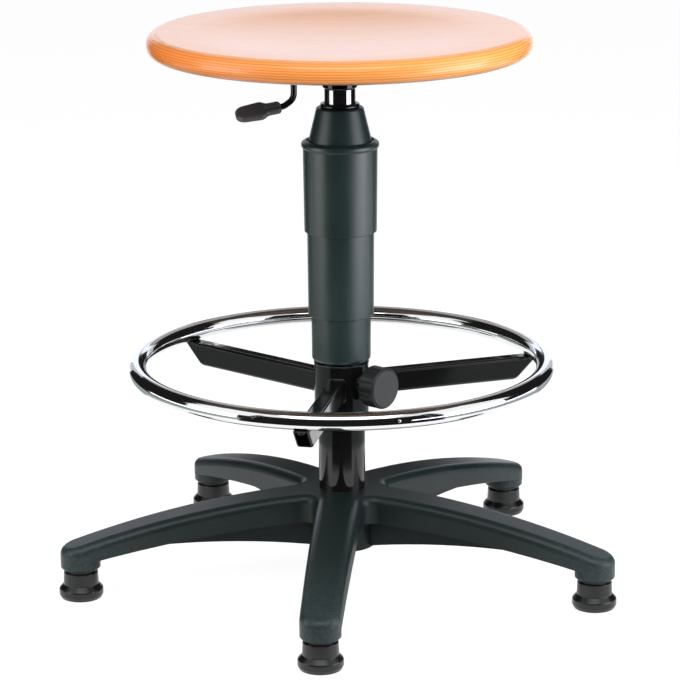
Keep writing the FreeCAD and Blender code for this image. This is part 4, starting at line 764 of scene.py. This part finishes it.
# %% Dress the solids
finishes["beech_ply"] = beech_ply
FINISH_OF_SLOT = {
    "seat_wood": "beech_ply",
    "black_plastic": "cover_plastic",
    "base_plastic": "base_plastic",
    "glide_plastic": "glide_plastic",
    "sole_plastic": "sole_plastic",
    "bush_plastic": "bush_plastic",
    "rubber": "buffer_rubber",
    "black_paint": "gloss_black_paint",
    "plate_paint": "plate_black_paint",
    "dark_steel": "black_zinc",
    "chrome": "ring_chrome",
    "steel": "turned_steel",
    "brass": "turned_brass",
}
FINISH_OF_NODE = {
    "taper_socket": "black_chrome",
    "ring_screws": "black_zinc",
    "lever_paddle": "paddle_plastic_painted_light",
    "knob_cap": "knob_plastic",
    "clamp_knob": "grip_plastic",
    "arm_plugs": "polished_black",
}
for part in frame["record"]["subparts"]:
    solid = stool_nodes[part["node"]]
    finish = finishes[FINISH_OF_NODE.get(part["node"], FINISH_OF_SLOT[part["material_slot"]])]
    if not solid.material_slots:
        solid.data.materials.append(finish)
    for place in solid.material_slots:
        place.material = finish

# %% [markdown]
# ## Small pieces
# Some things are too small to be worth a solid, but a close look would miss them. They are made here with
# bmesh, Blender's own mesh tools, and each one rides on the body that carries it, so that it moves with the
# joint. One helper turns a finished bmesh into a piece of the stool.

# %% Helper for small pieces
def add_piece(name, shape, finish, body):
    data = bpy.data.meshes.new(name)
    shape.to_mesh(data)
    shape.free()
    data.shade_smooth()
    data.materials.append(finishes[finish])
    piece = bpy.data.objects.new(name, data)
    scene.collection.objects.link(piece)
    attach(piece, body)
    return piece


print("piece helper ready")

# %% [markdown]
# ## Weld beads
# The three arms are square tube, welded to the hub all round before painting. A weld is laid in short steps
# and looks like a row of overlapping coins. It could be a noise bump on the paint, but then the outline stays
# sharp, so each bead is a small circle swept round the arm's section, a little thicker at every second step.
# First the section: a rectangle with rounded corners and points spaced evenly along its sides.

# %% Walk round an arm's section
ARM_WIDTH = 0.017
ARM_CORNER = 0.003
BEAD_STEP = 0.0016

arm_low, arm_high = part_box("ring_arm_right")
arm_bottom = arm_low[2]
arm_top = arm_high[2]


def section_outline(half_width, half_height, corner, step):
    sheet = bmesh.new()
    bmesh.ops.create_grid(sheet, x_segments=1, y_segments=1, size=1.0)
    bmesh.ops.scale(sheet, vec=(half_width, half_height, 1.0), verts=sheet.verts)
    bmesh.ops.bevel(sheet, geom=list(sheet.verts), affect="VERTICES", offset=corner, segments=3, profile=0.5,
                    material=-1)
    for side in [edge for edge in sheet.edges if edge.calc_length() > 2 * step]:
        bmesh.ops.subdivide_edges(sheet, edges=[side], cuts=round(side.calc_length() / step) - 1)
    sheet.faces.ensure_lookup_table()
    points = [corner_point.co.copy() for corner_point in sheet.faces[0].verts]
    sheet.free()
    return points


outline = section_outline(ARM_WIDTH / 2, (arm_top - arm_bottom) / 2, ARM_CORNER, BEAD_STEP)
print("points round an arm:", len(outline))

# %% [markdown]
# A circle now goes from point to point. At each step its rim is extruded, and the new rim is moved to the
# next place by one matrix, which also swells or shrinks it. A curve with a round bevel would give the same
# tube with less work, but with the same thickness all along, and the ripple is what makes it a weld.

# %% Draw a bead along a path
BEAD_RADIUS = 0.0017
BEAD_RIPPLE = 0.80
BEAD_SIDES = 10


def sweep_bead(path, outward):
    """A closed bead along a path: one circle is drawn out from point to point and bridged to its start."""
    count = len(path)
    bead = bmesh.new()

    def section_place(number):
        along = (path[(number + 1) % count] - path[number - 1]).normalized()
        across = outward.cross(along).normalized()
        swell = Matrix.Scale(1.0 if number % 2 else BEAD_RIPPLE, 4)
        turn = Matrix((across, along.cross(across), along)).transposed().to_4x4()
        return Matrix.Translation(path[number]) @ turn @ swell

    bmesh.ops.create_circle(bead, segments=BEAD_SIDES, radius=BEAD_RADIUS, matrix=section_place(0))
    start = last = list(bead.edges)
    for number in range(1, count):
        drawn = bmesh.ops.extrude_edge_only(bead, edges=last)["geom"]
        fresh = [item for item in drawn if isinstance(item, bmesh.types.BMVert)]
        edges = [item for item in drawn if isinstance(item, bmesh.types.BMEdge)]
        last = [edge for edge in edges if all(end in fresh for end in edge.verts)]
        step = section_place(number) @ section_place(number - 1).inverted()
        bmesh.ops.transform(bead, matrix=step, verts=fresh)
    bmesh.ops.bridge_loops(bead, edges=start + last)
    bmesh.ops.recalc_face_normals(bead, faces=bead.faces)
    return bead


print("bead:", 2000 * BEAD_RADIUS, "mm thick")

# %% [markdown]
# The path lies where the arm's section meets the round hub, so each point is pushed out to the hub's face.
# The arm's own box gives the direction, and a loop welds all three arms.

# %% Weld the arms to the hub
hub_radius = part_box("ring_hub")[1][0]
arm_middle = (arm_top + arm_bottom) / 2
for arm in ("right", "left", "front"):
    low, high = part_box("ring_arm_" + arm)
    reach = Vector(((low[0] + high[0]) / 2, (low[1] + high[1]) / 2, 0.0)).normalized()
    across = Vector((0, 0, 1)).cross(reach)
    path = []
    for point in outline:
        depth = math.sqrt(hub_radius ** 2 - point.x ** 2)
        path.append(reach * depth + across * point.x + Vector((0, 0, arm_middle + point.y)))
    bead = add_piece("weld_bead_" + arm, sweep_bead(path, reach), "gloss_black_paint", "ring")
    print(bead.name, "steps:", len(path), "direction:", [round(part, 3) for part in reach])

# %% [markdown]
# ## The wiper ring and the liner's lip
# Where the bright socket drops into the cover's cone, a soft cord of rubber keeps dust out of the bore, and
# the sleeve that grips the column ends in a rolled lip on top of the hub. Both are a small circle spun round
# the column, as on a lathe. A curve with a round bevel would do as well, but it would have to be made a mesh
# afterwards, and a spun mesh is closed from the start.

# %% Spin the wiper ring and the lip
SOCKET_RADIUS = 0.0163
CORD_RADIUS = 0.0024
CORD_GRIP = 0.0002
CORD_SINK = 0.0005
LIP_RADIUS = 0.0008
CORD_SIDES = 20
SPIN_STEPS = 64
SAME_POINT = 0.000001


def spin_cord(ring_radius, height, cord_radius):
    cord = bmesh.new()
    stand_up = Matrix.Rotation(math.pi / 2, 4, "X")
    place = Matrix.Translation((ring_radius, 0.0, height)) @ stand_up
    bmesh.ops.create_circle(cord, segments=CORD_SIDES, radius=cord_radius, matrix=place)
    section = [*cord.verts, *cord.edges]
    bmesh.ops.spin(cord, geom=section, cent=(0, 0, 0), axis=(0, 0, 1), angle=2 * math.pi, steps=SPIN_STEPS,
                   use_merge=True)
    bmesh.ops.remove_doubles(cord, verts=cord.verts, dist=SAME_POINT)
    bmesh.ops.recalc_face_normals(cord, faces=cord.faces)
    return cord


neck_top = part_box("cover_neck")[1][2]
wiper_radius = SOCKET_RADIUS + CORD_RADIUS - CORD_GRIP
wiper_shape = spin_cord(wiper_radius, neck_top + CORD_RADIUS - CORD_SINK, CORD_RADIUS)
wiper = add_piece("neck_wiper", wiper_shape, "polished_black", "seat_lift")
liner_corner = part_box("clamp_liner")[1]
lip_shape = spin_cord(liner_corner[0], liner_corner[2] - LIP_RADIUS, LIP_RADIUS)
lip = add_piece("liner_lip", lip_shape, "polished_black", "ring_slide")
print("spun:", wiper.name, lip.name)

# %% [markdown]
# ## The ring's vent plug
# A closed ring of tube needs a small hole, so that it doesn't burst or trap acid when it is plated. A pin
# with a low dome closes it. The dome is a ball, cut below its middle, closed, flattened and sunk a little in
# the tube's face, so that no gap shows under its edge.

# %% Set the vent plug
TUBE_RADIUS = 0.0095
PLUG_SIDE = 14.8
PLUG_LIFT = 5.0
PLUG_RADIUS = 0.0016
PLUG_RISE = 0.0008
PLUG_SINK = 0.0011

dome = bmesh.new()
bmesh.ops.create_uvsphere(dome, u_segments=24, v_segments=16, radius=PLUG_RADIUS)
bmesh.ops.bisect_plane(dome, geom=[*dome.verts, *dome.edges, *dome.faces], plane_co=(0, 0, -PLUG_SINK),
                       plane_no=(0, 0, 1), clear_inner=True)
bmesh.ops.edgeloop_fill(dome, edges=[edge for edge in dome.edges if edge.is_boundary])
bmesh.ops.scale(dome, vec=(1.0, 1.0, PLUG_RISE / PLUG_RADIUS), verts=dome.verts)
bmesh.ops.recalc_face_normals(dome, faces=dome.faces)

ring_low, ring_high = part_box("foot_ring")
ring_radius = ring_high[0] - TUBE_RADIUS
ring_height = ring_low[2] + TUBE_RADIUS
face_out = toward(PLUG_SIDE, PLUG_LIFT)
tube_middle = toward(PLUG_SIDE, 0) * ring_radius + Vector((0, 0, ring_height))
plug_place = tube_middle + face_out * TUBE_RADIUS
turn = face_out.to_track_quat("Z", "Y").to_matrix().to_4x4()
bmesh.ops.transform(dome, matrix=Matrix.Translation(plug_place) @ turn, verts=dome.verts)
add_piece("ring_vent_plug", dome, "ring_chrome", "ring")
print("vent plug at", [round(1000 * part, 1) for part in plug_place])
